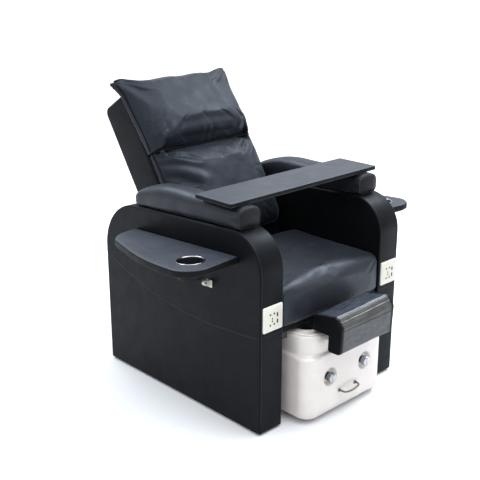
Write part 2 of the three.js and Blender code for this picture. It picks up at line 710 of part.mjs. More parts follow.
function actuatorRod() {
  const shaft = rodY(0, HINGE_N + 6, CLEVIS_N - 110, LUG_U, ROD_RADIUS);
  const eye = rodX(-EYE_HALF, EYE_HALF, HINGE_N, LUG_U, 13);
  const reach = EYE_HALF + 2 + CHEEK;
  const pin = rodX(-reach, reach, HINGE_N, LUG_U, ACTUATOR_PIN_RADIUS);
  return joined([shaft, eye, pin]);
}

place('actuator_housing', actuatorHousing(), blackPlastic, back);
place('actuator_rod', actuatorRod(), chrome, back);

// ---------- Backrest, in its own frame: y is n, z is u ----------
const BACK_BAR_DEPTH = 26;

function backFrame() {
  const n0 = HINGE_N - BACK_BAR_DEPTH / 2;
  const n1 = HINGE_N + BACK_BAR_DEPTH / 2;
  const top = SHELL_TOP - SHELL_WALL - 25;
  const pieces = [];
  for (const sign of [-1, 1]) {
    const x0 = sign < 0 ? -BACK_BAR_X : BACK_BAR_X - BACK_BAR;
    pieces.push(box(x0, x0 + BACK_BAR, n0, n1, HINGE_U - 14, top));
  }
  for (const u of [HINGE_U + 12, CREASE - 120, top - BACK_BAR]) {
    pieces.push(box(-BACK_BAR_X + 5, BACK_BAR_X - 5, n0, n1, u, u + BACK_BAR));
  }
  const hole = rodX(-300, 300, HINGE_N, HINGE_U, HINGE_PIN_RADIUS + FIT);
  return joined(pieces).subtract(hole);
}

// Fork that the actuator's rod pushes, welded below the frame's lowest bar.
function recliningLug() {
  const gap = EYE_HALF + 1.5;
  const cheeks = [];
  for (const sign of [-1, 1]) {
    const x0 = sign < 0 ? -gap - CHEEK : gap;
    const outline = roundedOutline([
      [HINGE_N - 19, LUG_U - 19, 14],
      [HINGE_N + 19, LUG_U - 19, 14],
      [HINGE_N + 12, HINGE_U + 12 - FIT, 0],
      [HINGE_N - 12, HINGE_U + 12 - FIT, 0],
    ]);
    cheeks.push(extrudeX(outline, x0, x0 + CHEEK));
  }
  const bridge = box(-gap - 1, gap + 1, HINGE_N - 12, HINGE_N + 12, HINGE_U - 20, HINGE_U + 12 - FIT);
  const hole = rodX(-60, 60, HINGE_N, LUG_U, ACTUATOR_PIN_RADIUS + OPEN_PIVOT_CLEARANCE);
  return joined([...cheeks, bridge]).subtract(hole);
}

function backShell() {
  const profile = (inset, bottom) =>
    roundedOutline([
      [SHELL_FRONT + inset, bottom, 0],
      [SHELL_FRONT + SHELL_DEPTH - inset, bottom, 0],
      [SHELL_FRONT + SHELL_DEPTH - inset, SHELL_TOP - inset, 22],
      [SHELL_FRONT + inset, SHELL_TOP - inset, 4],
    ]);
  const outer = extrudeX(profile(0, SHELL_BOTTOM), -BACK_HALF_WIDTH, BACK_HALF_WIDTH);
  const inner = BACK_HALF_WIDTH - SHELL_WALL;
  const rear = SHELL_FRONT + SHELL_DEPTH;
  // The actuator's rod comes up through this notch when the back lies down.
  const notch = box(
    -ROD_NOTCH_HALF,
    ROD_NOTCH_HALF,
    rear - SHELL_WALL - 1,
    rear + 1,
    SHELL_BOTTOM - 1,
    SHELL_BOTTOM + ROD_NOTCH_HEIGHT,
  );
  return without(outer, [extrudeX(profile(SHELL_WALL, SHELL_BOTTOM - 10), -inner, inner), notch]);
}

// A stuffed block over levels [height, half width, thickness]: seams at the shell, crown to the front.
function backPad(levels) {
  const rings = levels.map(([u, half, front]) => {
    const rear = SHELL_FRONT - FIT;
    const crown = SHELL_FRONT - front;
    const side = crown + 45;
    const corners = [
      [-half, rear, 6],
      [half, rear, 6],
      [half, side, 20],
      [half * 0.55, crown, 60],
      [-half * 0.55, crown, 60],
      [-half, side, 20],
    ];
    return roundedOutline(corners, 3).map((p) => v(p.x, p.y, u));
  });
  return loft(rings);
}

function lowerBackCushion() {
  const half = BACK_HALF_WIDTH - 3;
  const middle = (CUSHION_BOTTOM + CREASE) / 2;
  return backPad([
    [CUSHION_BOTTOM, half - 12, 67],
    [CUSHION_BOTTOM + 25, half - 2, 95],
    [middle, half, 109],
    [CREASE - 30, half, 102],
    [CREASE - 2, half - 8, 73],
  ]);
}

function headPillow() {
  const middle = (CREASE + PILLOW_TOP) / 2;
  return backPad([
    [CREASE + 1, BACK_HALF_WIDTH - 6, 73],
    [CREASE + 30, BACK_HALF_WIDTH + 5, 102],
    [middle, PILLOW_EAR_X - 15, 112],
    [PILLOW_TOP - 45, PILLOW_EAR_X - 8, 91],
    [PILLOW_TOP - 14, PILLOW_EAR_X - 4, 59],
    [PILLOW_TOP, PILLOW_EAR_X - 8, 35],
  ]);
}

place('back_frame', backFrame(), steel, back);
place('recline_lug', recliningLug(), steel, back);
place('back_shell', backShell(), dullLeather, back);
place('lower_back_cushion', lowerBackCushion(), leather, back);
place('head_pillow', headPillow(), leather, back);

// ---------- Manicure board ----------
function manicureBoard() {
  const outline = rectangle(-BOARD_HALF_LENGTH, BOARD_HALF_LENGTH, BOARD_FRONT, BOARD_FRONT + BOARD_DEPTH, 5);
  return extrudeZ(roundedOutline(outline, 2), BOARD_BOTTOM, BOARD_BOTTOM + BOARD_THICKNESS);
}

place('manicure_board', manicureBoard(), leather);

// ---------- Foot tub ----------
// Outline of the tub at one height, drawn in from the widest outline by an inset.
function tubRing(inset, z) {
  const half = TUB_HALF_WIDTH - inset;
  const corners = rectangle(-half, half, TUB_FRONT + inset, TUB_REAR - inset, Math.max(TUB_CORNER - inset, 20));
  return roundedOutline(corners, 6).map((p) => v(p.x, p.y, z));
}

const tubLoft = (levels) => loft(levels.map(([inset, z]) => tubRing(inset, z)));

const TIER_INSET = 12;
const OPENING_INSET = TIER_INSET + 20;
const POCKET_DEPTH = 17;
const POCKET_RADIUS = 27;

function tubShell() {
  const outer = tubLoft([
    [20, TUB_BOTTOM],
    [8, TUB_BOTTOM + 6],
    [1.5, TUB_BOTTOM + 18],
    [0, TUB_BOTTOM + 35],
    [0, TUB_LEDGE - 6],
    [3, TUB_LEDGE],
    [TIER_INSET, TUB_LEDGE + 3],
    [TIER_INSET + 1, SHELL_RIM - 8],
    [TIER_INSET + 4, SHELL_RIM - 2],
    [TIER_INSET + 8, SHELL_RIM],
  ]);
  const hollow = tubLoft([
    [24, TUB_BOTTOM - 5],
    [20, TUB_BOTTOM + 4],
    [8, TUB_BOTTOM + 14],
    [TUB_WALL, TUB_BOTTOM + 35],
    [TUB_WALL, TUB_LEDGE - 8],
    [TIER_INSET + TUB_WALL, TUB_LEDGE - 3],
    [TIER_INSET + TUB_WALL + 1, SHELL_RIM - 5],
  ]);
  const opening = tubLoft([
    [OPENING_INSET, SHELL_RIM - 20],
    [OPENING_INSET, SHELL_RIM + 10],
  ]);
  const body = without(outer, [hollow, opening]);
  const pockets = [-1, 1].map((k) =>
    rodY(k * KNOB_X, TUB_FRONT + 1, TUB_FRONT + POCKET_DEPTH + TUB_WALL, KNOB_Z, POCKET_RADIUS + TUB_WALL),
  );
  const scoops = [-1, 1].map((k) =>
    rodY(k * KNOB_X, TUB_FRONT - 5, TUB_FRONT + POCKET_DEPTH, KNOB_Z, POCKET_RADIUS),
  );
  return without(joined([body, ...pockets]), scoops);
}

const DRAIN_Y = 60;
const DRAIN_RADIUS = 18;
const JET_Y = 260;
const JET_RADIUS = 42;
const BOARD_TOP = BASE_BOARD_BOTTOM + BASE_BOARD_THICKNESS;

function footBasin() {
  const rim = tubLoft([
    [TIER_INSET + 8, SHELL_RIM + FIT],
    [TIER_INSET + 9, TUB_RIM - 1],
    [TIER_INSET + 11, TUB_RIM],
  ]);
  const outside = tubLoft([
    [OPENING_INSET + 36, BASIN_FLOOR - BASIN_WALL],
    [OPENING_INSET + 18, BASIN_FLOOR + 14],
    [OPENING_INSET + SLIP, SHELL_RIM - 20],
    [OPENING_INSET + SLIP, SHELL_RIM + 2],
  ]);
  const inside = tubLoft([
    [OPENING_INSET + 40, BASIN_FLOOR],
    [OPENING_INSET + 22, BASIN_FLOOR + 16],
    [OPENING_INSET + SLIP + BASIN_WALL, SHELL_RIM - 20],
    [OPENING_INSET + SLIP + BASIN_WALL, TUB_RIM + 5],
  ]);
  const well = rodZ(0, JET_Y, BOARD_TOP + FIT, BASIN_FLOOR - 1, JET_RADIUS + BASIN_WALL, 32);
  const wellHollow = rodZ(0, JET_Y, BOARD_TOP + 6, BASIN_FLOOR + 5, JET_RADIUS, 32);
  const drain = rodZ(0, DRAIN_Y, BASIN_FLOOR - 20, BASIN_FLOOR + 5, DRAIN_RADIUS);
  return without(joined([rim, outside, well]), [inside, wellHollow, drain]);
}

function baseBoard() {
  return tubLoft([
    [10, BASE_BOARD_BOTTOM],
    [10, BOARD_TOP],
  ]);
}

place('tub_shell', tubShell(), acrylic);
place('foot_basin', footBasin(), acrylic);
place('base_board', baseBoard(), timber);

function drainPlug() {
  const stem = rodZ(0, DRAIN_Y, BASIN_FLOOR - BASIN_WALL - 3, BASIN_FLOOR + 2, DRAIN_RADIUS - 0.5);
  const cap = rodZ(0, DRAIN_Y, BASIN_FLOOR + FIT, BASIN_FLOOR + 4, DRAIN_RADIUS + 4);
  return joined([stem, cap, rodZ(0, DRAIN_Y, BASIN_FLOOR + 3, BASIN_FLOOR + 12, 5)]);
}

function jetCover() {
  const disc = rodZ(0, JET_Y, BASIN_FLOOR - 3, BASIN_FLOOR, JET_RADIUS - 0.5, 32);
  const legs = [0, 1, 2].map((i) => {
    const angle = (i * 2 * Math.PI) / 3;
    const reach = JET_RADIUS - 6;
    const x = reach * Math.cos(angle);
    const y = JET_Y + reach * Math.sin(angle);
    return rodZ(x, y, BOARD_TOP + 6 + FIT, BASIN_FLOOR - 2, 3, 12);
  });
  const holes = [];
  for (let i = 0; i < 9; i++) {
    const angle = (i * 2 * Math.PI) / 9 + 0.3;
    holes.push(rodZ(22 * Math.cos(angle), JET_Y + 22 * Math.sin(angle), 50, 150, 4, 10));
  }
  return without(joined([disc, ...legs]), holes);
}

function jetImpeller() {
  const z0 = BOARD_TOP + 6 + FIT;
  const pieces = [rodZ(0, JET_Y, z0, z0 + 22, 7)];
  for (let i = 0; i < 3; i++) {
    const blade = box(-27, 27, -1.5, 1.5, z0 + 6, z0 + 18).rotate([0, 0, i * 60]);
    pieces.push(blade.translate([0, JET_Y, 0]));
  }
  return joined(pieces);
}

place('drain_plug', drainPlug(), rubber);
place('jet_cover', jetCover(), creamPlastic);
place('jet_impeller', jetImpeller(), blackPlastic);

const FORK_GAP = 2;
const FORK_CHEEK = 2.5;

// Fixed caster: top plate, two cheeks and the axle between them.
function casterFork(x, y) {
  const top = BASE_BOARD_BOTTOM - FIT;
  const inner = WHEEL_WIDTH / 2 + FORK_GAP;
  const pieces = [box(x - 17, x + 17, y - 15, y + 15, top - 3, top)];
  for (const sign of [-1, 1]) {
    const x0 = sign < 0 ? x - inner - FORK_CHEEK : x + inner;
    pieces.push(box(x0, x0 + FORK_CHEEK, y - 8, y + 8, WHEEL_RADIUS - 4, top - 1));
    pieces.push(rodX(x0, x0 + FORK_CHEEK, y, WHEEL_RADIUS, 8, 16));
  }
  pieces.push(rodX(x - inner - 1, x + inner + 1, y, WHEEL_RADIUS, AXLE_RADIUS, 16));
  return joined(pieces);
}

function casterWheel(x, y) {
  const half = WHEEL_WIDTH / 2;
  const profile = [
    [AXLE_RADIUS + FIT, -half],
    [WHEEL_RADIUS - 2, -half],
    [WHEEL_RADIUS, -half + 2],
    [WHEEL_RADIUS, half - 2],
    [WHEEL_RADIUS - 2, half],
    [AXLE_RADIUS + FIT, half],
    [AXLE_RADIUS + FIT, -half],
  ];
  const turned = new THREE.LatheGeometry(profile.map(([r, z]) => new THREE.Vector2(r, z)), 24);
  turned.rotateZ(-Math.PI / 2);
  return toSolid(turned.translate(x, y, WHEEL_RADIUS));
}

WHEEL_Y.forEach((y, i) => {
  for (const [side, sign] of SIDES) {
    const end = i ? 'rear' : 'front';
    place(`caster_fork_${end}_${side}`, casterFork(sign * WHEEL_X, y), steel);
    place(`caster_wheel_${end}_${side}`, casterWheel(sign * WHEEL_X, y), rubber);
  }
});

// Chrome knob: short stem, round body and a raised grip bar across its face.
function knob(x) {
  const base = TUB_FRONT + POCKET_DEPTH - FIT;
  const face = base - 30;
  const stem = rodY(x, face + 10, base, KNOB_Z, KNOB_RADIUS - 6);
  const body = rodY(x, face, face + 18, KNOB_Z, KNOB_RADIUS, 32);
  const grip = box(x - 4, x + 4, face - 3, face + 4, KNOB_Z - KNOB_RADIUS + 2, KNOB_Z + KNOB_RADIUS - 2);
  return joined([stem, body, grip]);
}

function pullHandle() {
  const half = HANDLE_SPAN / 2;
  const out = TUB_FRONT - HANDLE_REACH;
  const route = new THREE.CatmullRomCurve3(
    [
      v(-half, TUB_FRONT - FIT, HANDLE_Z),
      v(-half, out + 8, HANDLE_Z),
      v(-half + 8, out, HANDLE_Z - 2),
      v(0, out, HANDLE_Z - 6),
      v(half - 8, out, HANDLE_Z - 2),
      v(half, out + 8, HANDLE_Z),
      v(half, TUB_FRONT - FIT, HANDLE_Z),
    ],
    false,
    'centripetal',
  );
  const section = new THREE.Shape().absarc(0, 0, HANDLE_RADIUS, 0, 2 * Math.PI, false);
  const options = { extrudePath: route, steps: 18, curveSegments: 4, bevelEnabled: false };
  const bar = toSolid(new THREE.ExtrudeGeometry(section, options));
  const trimmed = box(-100, 100, TUB_FRONT - 60, TUB_FRONT - FIT, HANDLE_Z - 40, HANDLE_Z + 40);
  return bar.intersect(trimmed);
}

place('knob_left', knob(-KNOB_X), chrome);
place('knob_right', knob(KNOB_X), chrome);
place('pull_handle', pullHandle(), chrome);

// ---------- Footrest over the tub's front rim ----------
const REST_UNDER = TUB_RIM + 9; // underside of the pad's flat part
const REST_DROP_BACK = TUB_FRONT - 21;

function footrestPad() {
  const outline = roundedOutline(
    [
      [TUB_FRONT + 47, REST_UNDER, 3],
      [TUB_FRONT + 47, REST_UNDER + 55, 12],
      [TUB_FRONT - 52, REST_UNDER + 73, 18],
      [TUB_FRONT - 79, REST_UNDER + 42, 14],
      [TUB_FRONT - 74, REST_UNDER - 55, 12],
      [REST_DROP_BACK - 1, REST_UNDER - 55, 12],
      [REST_DROP_BACK - 1, REST_UNDER, 0],
    ],
    4,
  );
  return extrudeX(outline, -FOOTREST_HALF_WIDTH, FOOTREST_HALF_WIDTH);
}

const BRACKET_HALF = 90;
const HOOK_PLATE = 3;

function footrestBracket() {
  const tierFront = TUB_FRONT + TIER_INSET;
  const basinFace = TUB_FRONT + OPENING_INSET + SLIP + BASIN_WALL;
  const top0 = TUB_RIM + FIT;
  const top1 = REST_UNDER - FIT;
  const plate = box(-BRACKET_HALF, BRACKET_HALF, REST_DROP_BACK, basinFace + 2 + HOOK_PLATE, top0, top1);
  const front = box(-BRACKET_HALF, BRACKET_HALF, REST_DROP_BACK, tierFront - 2, TUB_RIM - 32, top1);
  const hook = box(-60, 60, basinFace + 2, basinFace + 2 + HOOK_PLATE, TUB_RIM - 22, top1);
  return joined([plate, front, hook]);
}

place('footrest_pad', footrestPad(), leather);
place('footrest_bracket', footrestBracket(), steel);

// ---------- Origin: centre of the bounding box on the floor ----------
chair.updateMatrixWorld(true);
const bounds = new THREE.Box3().setFromObject(chair, true);
chair.position.y = -(bounds.min.y + bounds.max.y) / 2;

export default chair;
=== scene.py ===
"""Looks of the pedicure spa chair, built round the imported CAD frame. Metres, Z up.

Lengths along y are given from the front face of the side panels, as FRONT is in the CAD.
"""

import json
import math

import bmesh
import bpy
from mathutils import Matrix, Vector, noise
from mathutils.bvhtree import BVHTree


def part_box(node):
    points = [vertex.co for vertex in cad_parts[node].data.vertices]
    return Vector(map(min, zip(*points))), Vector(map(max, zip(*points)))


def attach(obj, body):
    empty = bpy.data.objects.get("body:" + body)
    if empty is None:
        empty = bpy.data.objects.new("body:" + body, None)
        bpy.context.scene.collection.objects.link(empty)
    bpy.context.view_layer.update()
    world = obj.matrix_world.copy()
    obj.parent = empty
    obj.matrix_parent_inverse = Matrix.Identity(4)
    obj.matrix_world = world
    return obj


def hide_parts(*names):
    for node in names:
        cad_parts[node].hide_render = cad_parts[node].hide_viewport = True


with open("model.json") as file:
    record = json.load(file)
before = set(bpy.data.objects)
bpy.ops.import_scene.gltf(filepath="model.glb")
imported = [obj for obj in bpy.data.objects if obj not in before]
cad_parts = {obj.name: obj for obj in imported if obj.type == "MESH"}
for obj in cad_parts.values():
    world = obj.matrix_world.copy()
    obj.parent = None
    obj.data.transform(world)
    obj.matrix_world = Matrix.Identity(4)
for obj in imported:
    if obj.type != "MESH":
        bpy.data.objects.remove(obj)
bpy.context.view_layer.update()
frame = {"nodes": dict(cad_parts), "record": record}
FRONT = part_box("panel_cover_left")[0].y

# ---------- Sizes shared with the CAD ----------
SLOPE = 0.0557
PANEL_TOP = 0.688
PANEL_INNER, PANEL_OUTER, PANEL_DEPTH = 0.246, 0.350, 0.812
TILT = math.radians(32)
SHELL_N, SHELL_DEPTH = 0.157, 0.137
SHELL_U0, SHELL_U1 = 0.600, 1.2949
BACK_HALF = 0.238
CUSHION_U0, CREASE_U, PILLOW_U1 = 0.685, 1.047, 1.336
BOLSTER_X, BOLSTER_HALF, BOLSTER_Y0, BOLSTER_Y1, BOLSTER_TOP = 0.296, 0.051, 0.105, 0.637, 0.754
BOARD_HALF, BOARD_Y0, BOARD_Y1, BOARD_Z0, BOARD_Z1 = 0.361, 0.122, 0.292, 0.7544, 0.7692
SEAT_HALF, SEAT_Y0, SEAT_Y1, SEAT_Z0, SEAT_Z1 = 0.243, 0.002, 0.424, 0.356, 0.490
PLATE_X, PLATE_Z, PLATE_HALF = 0.298, 0.4095, 0.043
CATCH_Y, CATCH_Z = 0.235, 0.475
TUB_HALF, TUB_Y0, TUB_Y1, TUB_Z0 = 0.203, -0.075, 0.400, 0.014
LEDGE, TUB_CORNER = 0.246, 0.048
FLOOR_GAP = 0.006
KNOB_X, KNOB_Z = 0.090, 0.155
CUP_X, CUP_Y, CUP_R = 0.476, 0.182, 0.044
TRAY_WALL, TRAY_DROP = 0.3503, 0.080


def tray_top_at(y):
    return PANEL_TOP - SLOPE * y - TRAY_DROP


def smooth01(t):
    t = min(max(t, 0.0), 1.0)
    return t * t * (3 - 2 * t)


def spread(low, high, parts):
    """Evenly spaced values from low to high."""
    return [low + (high - low) * k / parts for k in range(parts + 1)]


def turns(count):
    """Evenly spaced angles once round a circle."""
    return [2 * math.pi * k / count for k in range(count)]


def wobble(x, y, z, scale, seed=0.0):
    return noise.noise(Vector((x * scale + seed, y * scale - seed * 0.7, z * scale + 3.1 * seed)))


# ---------- Materials ----------
class Nodes:
    def __init__(self, name):
        self.mat = bpy.data.materials.new(name)
        self.mat.use_nodes = True
        self.tree = self.mat.node_tree
        self.bsdf = self.tree.nodes["Principled BSDF"]
        self.coords = self.add("ShaderNodeTexCoord").outputs["Object"]
        self.height = None

    def add(self, kind, **values):
        node = self.tree.nodes.new(kind)
        for key, value in values.items():
            setattr(node, key, value)
        return node

    def link(self, a, b):
        self.tree.links.new(a, b)

    def noise(self, scale, detail=3.0, distortion=0.0, stretch=(1, 1, 1)):
        mapping = self.add("ShaderNodeMapping")
        mapping.inputs["Scale"].default_value = stretch
        self.link(self.coords, mapping.inputs["Vector"])
        node = self.add("ShaderNodeTexNoise")
        node.inputs["Scale"].default_value = scale
        node.inputs["Detail"].default_value = detail
        node.inputs["Distortion"].default_value = distortion
        self.link(mapping.outputs["Vector"], node.inputs["Vector"])
        return node.outputs["Fac"]

    def cells(self, scale):
        node = self.add("ShaderNodeTexVoronoi", feature="SMOOTH_F1")
        node.inputs["Scale"].default_value = scale
        self.link(self.coords, node.inputs["Vector"])
        return node.outputs["Distance"]

    def colour(self, dark, light, factor, low=0.35, high=0.65):
        ramp = self.add("ShaderNodeValToRGB")
        ramp.color_ramp.elements[0].position = low
        ramp.color_ramp.elements[1].position = high
        ramp.color_ramp.elements[0].color = (*dark, 1)
        ramp.color_ramp.elements[1].color = (*light, 1)
        self.link(factor, ramp.inputs["Fac"])
        self.link(ramp.outputs["Color"], self.bsdf.inputs["Base Color"])

    def roughness(self, factor, low, high):
        node = self.add("ShaderNodeMapRange")
        node.inputs["From Min"].default_value = 0.3
        node.inputs["From Max"].default_value = 0.7
        node.inputs["To Min"].default_value = low
        node.inputs["To Max"].default_value = high
        self.link(factor, node.inputs["Value"])
        self.link(node.outputs["Result"], self.bsdf.inputs["Roughness"])

    def bump(self, factor, strength, distance):
        node = self.add("ShaderNodeBump")
        node.inputs["Strength"].default_value = strength
        node.inputs["Distance"].default_value = distance
        self.link(factor, node.inputs["Height"])
        if self.height is not None:
            self.link(self.height, node.inputs["Normal"])
        self.height = node.outputs["Normal"]
        self.link(self.height, self.bsdf.inputs["Normal"])

    def set(self, **values):
        names = {
            "metallic": "Metallic", "coat": "Coat Weight", "coat_rough": "Coat Roughness",
            "sheen": "Sheen Weight", "sheen_rough": "Sheen Roughness", "sheen_tint": "Sheen Tint",
            "specular": "Specular IOR Level", "specular_tint": "Specular Tint",
        }
        for key, value in values.items():
            self.bsdf.inputs[names[key]].default_value = value
        return self


def leather(name, dark, light, rough, grain=0.3, soft=0.35, **extra):
    m = Nodes(name)
    m.colour(dark, light, m.noise(7.0, 4.0, 0.6))
    m.roughness(m.noise(22.0, 4.0), rough - 0.06, rough + 0.07)
    m.bump(m.noise(16.0, 2.0, 0.4), soft, 0.004)
    m.bump(m.cells(720.0), grain, 0.00035)
    m.bump(m.noise(1500.0, 2.0), grain * 0.6, 0.0002)
    return m.set(**extra).mat


BLUISH = (0.62, 0.76, 1.0, 1)
BACK_LEATHER = leather(
    "back_leather", (0.0078, 0.0090, 0.0122), (0.0118, 0.0138, 0.0182), 0.47,
    specular=0.22, specular_tint=(0.78, 0.87, 1.0, 1), sheen=0.08, sheen_rough=0.34, sheen_tint=BLUISH,
)
LEATHER = leather(
    "satin_leather", (0.0080, 0.0088, 0.0112), (0.0125, 0.0139, 0.0175), 0.44,
    specular=0.34, specular_tint=(0.80, 0.88, 1.0, 1), sheen=0.10, sheen_rough=0.34, sheen_tint=BLUISH,
)
# Lighter copy of the leather for the board's top: painted light on a face turned up to the lamps.
BOARD_LIT_LEATHER = leather(
    "board_leather_painted_light", (0.0160, 0.0173, 0.0206), (0.0212, 0.0229, 0.0272), 0.45,
    soft=0.12, specular=0.38, specular_tint=(0.90, 0.95, 1.0, 1), sheen=0.20, sheen_rough=0.35,
    sheen_tint=BLUISH,
)
# Lighter copy of the leather for the trays' tops: painted light on faces turned up to the lamps.
TRAY_LIT_LEATHER = leather(
    "tray_leather_painted_light", (0.0150, 0.0168, 0.0210), (0.0205, 0.0230, 0.0285), 0.50,
    soft=0.18, specular=0.38, specular_tint=(0.85, 0.91, 1.0, 1), sheen=0.14, sheen_rough=0.40,
    sheen_tint=BLUISH,
)
PANEL_LEATHER = leather(
    "panel_leather", (0.0026, 0.0027, 0.0030), (0.0041, 0.0042, 0.0047), 0.42,
    soft=0.20, specular=0.095, specular_tint=(0.78, 0.87, 1.0, 1), sheen=0.030, sheen_rough=0.35,
    sheen_tint=BLUISH,
)
# Darker copy of the leather for the bolsters' front end caps: painted shade on faces turned away from the
# overhead light.
SHADED_CAP_LEATHER = leather("cap_leather_painted_shade", (0.0052, 0.0054, 0.0062), (0.0078, 0.0081, 0.0093), 0.52, soft=0.2,
                      specular=0.17)
# Darker copy of the leather for the trays' side bands: painted shade on faces turned away from the light.
TRAY_SHADED_EDGE_LEATHER = leather("tray_edge_leather_painted_shade", (0.0034, 0.0036, 0.0041), (0.0054, 0.0057, 0.0064), 0.56, soft=0.1,
                       specular=0.10)
# Darkest leather: the welts' own colour, and painted shade where it lines the crease between the back pads.
WELT_AND_CREASE_SHADE = leather("welt_and_crease_shade_leather", (0.0016, 0.0017, 0.0020), (0.0030, 0.0031, 0.0035), 0.62, soft=0.1,
               specular=0.05)
SEAM = leather("seam_leather", (0.004, 0.004, 0.005), (0.008, 0.008, 0.010), 0.5, soft=0.1, specular=0.3)


def thread_material():
    m = Nodes("seam_thread")
    m.colour((0.010, 0.010, 0.012), (0.022, 0.023, 0.026), m.noise(300.0))
    m.roughness(m.noise(500.0), 0.55, 0.7)
    m.bump(m.noise(2500.0, 2.0), 0.4, 0.0003)
    return m.set(sheen=0.3).mat


THREAD = thread_material()


def film_material(name, dark, light, rough, **extra):
    m = Nodes(name)
    m.colour(dark, light, m.noise(34.0, 6.0, 1.2, (0.5, 1.6, 1.6)))
    m.roughness(m.noise(60.0, 4.0), rough, rough + 0.2)
    m.bump(m.noise(40.0, 4.0, 2.0, (0.4, 1.5, 1.5)), 0.45, 0.003)
    m.bump(m.noise(400.0, 3.0), 0.12, 0.0005)
    return m.set(**extra).mat


FILM_TOP = film_material("film_over_pad_top", (0.014, 0.018, 0.026), (0.048, 0.058, 0.076), 0.26, coat=0.20,
                         coat_rough=0.20)
FILM_LINE = film_material("film_crease", (0.10, 0.11, 0.12), (0.30, 0.32, 0.34), 0.30, coat=0.2, coat_rough=0.2)
FILM_BAND = film_material("film_over_pad_bevel", (0.016, 0.016, 0.0135), (0.042, 0.042, 0.036), 0.34,
                          coat=0.10, coat_rough=0.25)
FILM_FRONT = film_material("film_over_pad_front", (0.018, 0.020, 0.024), (0.034, 0.037, 0.043), 0.36,
                           coat=0.10, coat_rough=0.25)


def plain_material(name, dark, light, rough, fine=900.0, coarse=12.0, grain=0.15, wave=0.05, **extra):
    m = Nodes(name)
    m.colour(dark, light, m.noise(coarse, 4.0, 0.3))
    m.roughness(m.noise(45.0, 4.0), rough - 0.03, rough + 0.05)
    m.bump(m.noise(coarse * 1.7, 2.0), wave, 0.002)
    m.bump(m.noise(fine, 2.0), grain, 0.0002)
    return m.set(**extra).mat


ACRYLIC = plain_material(
    "white_acrylic", (0.612, 0.564, 0.526), (0.660, 0.612, 0.576), 0.18, grain=0.03, wave=0.10,
    coat=0.45, coat_rough=0.06,
)
CREAM = plain_material("cream_plastic", (0.565, 0.540, 0.465), (0.605, 0.585, 0.510), 0.36, grain=0.16)
CREAM_BORDER = plain_material("cream_plastic_border", (0.610, 0.590, 0.520), (0.650, 0.630, 0.565), 0.26,
                              grain=0.05, coat=0.1)
PIN_BLACK = plain_material("socket_recess", (0.010, 0.010, 0.011), (0.018, 0.018, 0.019), 0.5)
BLACK = plain_material("black_plastic", (0.010, 0.010, 0.011), (0.018, 0.018, 0.020), 0.38, grain=0.3)
CHROME = plain_material("chrome", (0.38, 0.39, 0.40), (0.50, 0.51, 0.53), 0.10, grain=0.02, wave=0.02,
                        metallic=1.0)
NICKEL = plain_material("satin_nickel", (0.150, 0.138, 0.112), (0.215, 0.200, 0.165), 0.30, grain=0.05,
                        wave=0.02, metallic=1.0)
CUP_BLACK = plain_material("cup_well", (0.0030, 0.0030, 0.0033), (0.0050, 0.0050, 0.0054), 0.55, grain=0.1,
                           specular=0.15)
# Black powder coat, drawn darker still to paint the shade on the seat rails under the seat.
STEEL_AND_PAINTED_SHADE = plain_material("black_powder_coat_and_painted_shade", (0.010, 0.010, 0.011), (0.016, 0.016, 0.017), 0.48, fine=1400.0,
                       grain=0.5)
RUBBER = plain_material("rubber", (0.012, 0.012, 0.012), (0.022, 0.022, 0.022), 0.72, grain=0.5)


# Plywood drawn near black: the colour paints the shade under the seat, where the deck's underside and bars show.
def wood_material():
    m = Nodes("near_black_plywood_painted_shade")
    m.colour((0.0070, 0.0062, 0.0056), (0.0130, 0.0112, 0.0098), m.noise(6.0, 6.0, 1.5, (1, 10, 30)))
    m.roughness(m.noise(80.0), 0.6, 0.75)
    m.bump(m.noise(60.0, 4.0, 0.5, (0.3, 3, 8)), 0.3, 0.0006)
    return m.mat


TIMBER_PAINTED_SHADE = wood_material()

BY_SLOT = {
    "leather": LEATHER, "panel_leather": PANEL_LEATHER, "tub_acrylic": ACRYLIC,
    "cream_plastic": CREAM, "black_plastic": BLACK, "chrome": CHROME,
    "frame_steel": STEEL_AND_PAINTED_SHADE, "timber": TIMBER_PAINTED_SHADE, "rubber": RUBBER,
}
for part in frame["record"]["subparts"]:
    node = frame["nodes"][part["node"]]
    if not node.material_slots:
        node.data.materials.append(BY_SLOT[part["material_slot"]])
    for socket in node.material_slots:
        socket.material = BY_SLOT[part["material_slot"]]


# ---------- Mesh helpers ----------
SHARP_ANGLE = math.radians(50)


def outline(corners, steps=8):
    """Points round a polygon whose corners are (a, b, radius), as circular arcs."""
    points = []
    count = len(corners)
    for i, (a, b, radius) in enumerate(corners):
        here = Vector((a, b))
        if radius <= 0:
            points.append(here)
            continue
        to_last = (Vector(corners[i - 1][:2]) - here).normalized()
        to_next = (Vector(corners[(i + 1) % count][:2]) - here).normalized()
        half = to_last.angle(to_next) / 2
        reach = radius / math.tan(half)
        centre = here + (to_last + to_next).normalized() * (radius / math.sin(half))
        start = here + to_last * reach - centre
        end = here + to_next * reach - centre
        sweep = start.angle_signed(end)
        for k in range(steps + 1):
            turn = -sweep * k / steps
            c, s = math.cos(turn), math.sin(turn)
            points.append(centre + Vector((start.x * c - start.y * s, start.x * s + start.y * c)))
    return points


def rectangle(a0, b0, a1, b1, radius, steps):
    return outline([(a0, b0, radius), (a1, b0, radius), (a1, b1, radius), (a0, b1, radius)], steps)


def dense(points, spacing):
    """The same outline with points added on its long straight runs."""
    result = []
    for i, p in enumerate(points):
        q = points[(i + 1) % len(points)]
        parts = max(1, round((q - p).length / spacing))
        result += [p.lerp(q, k / parts) for k in range(parts)]
    return result


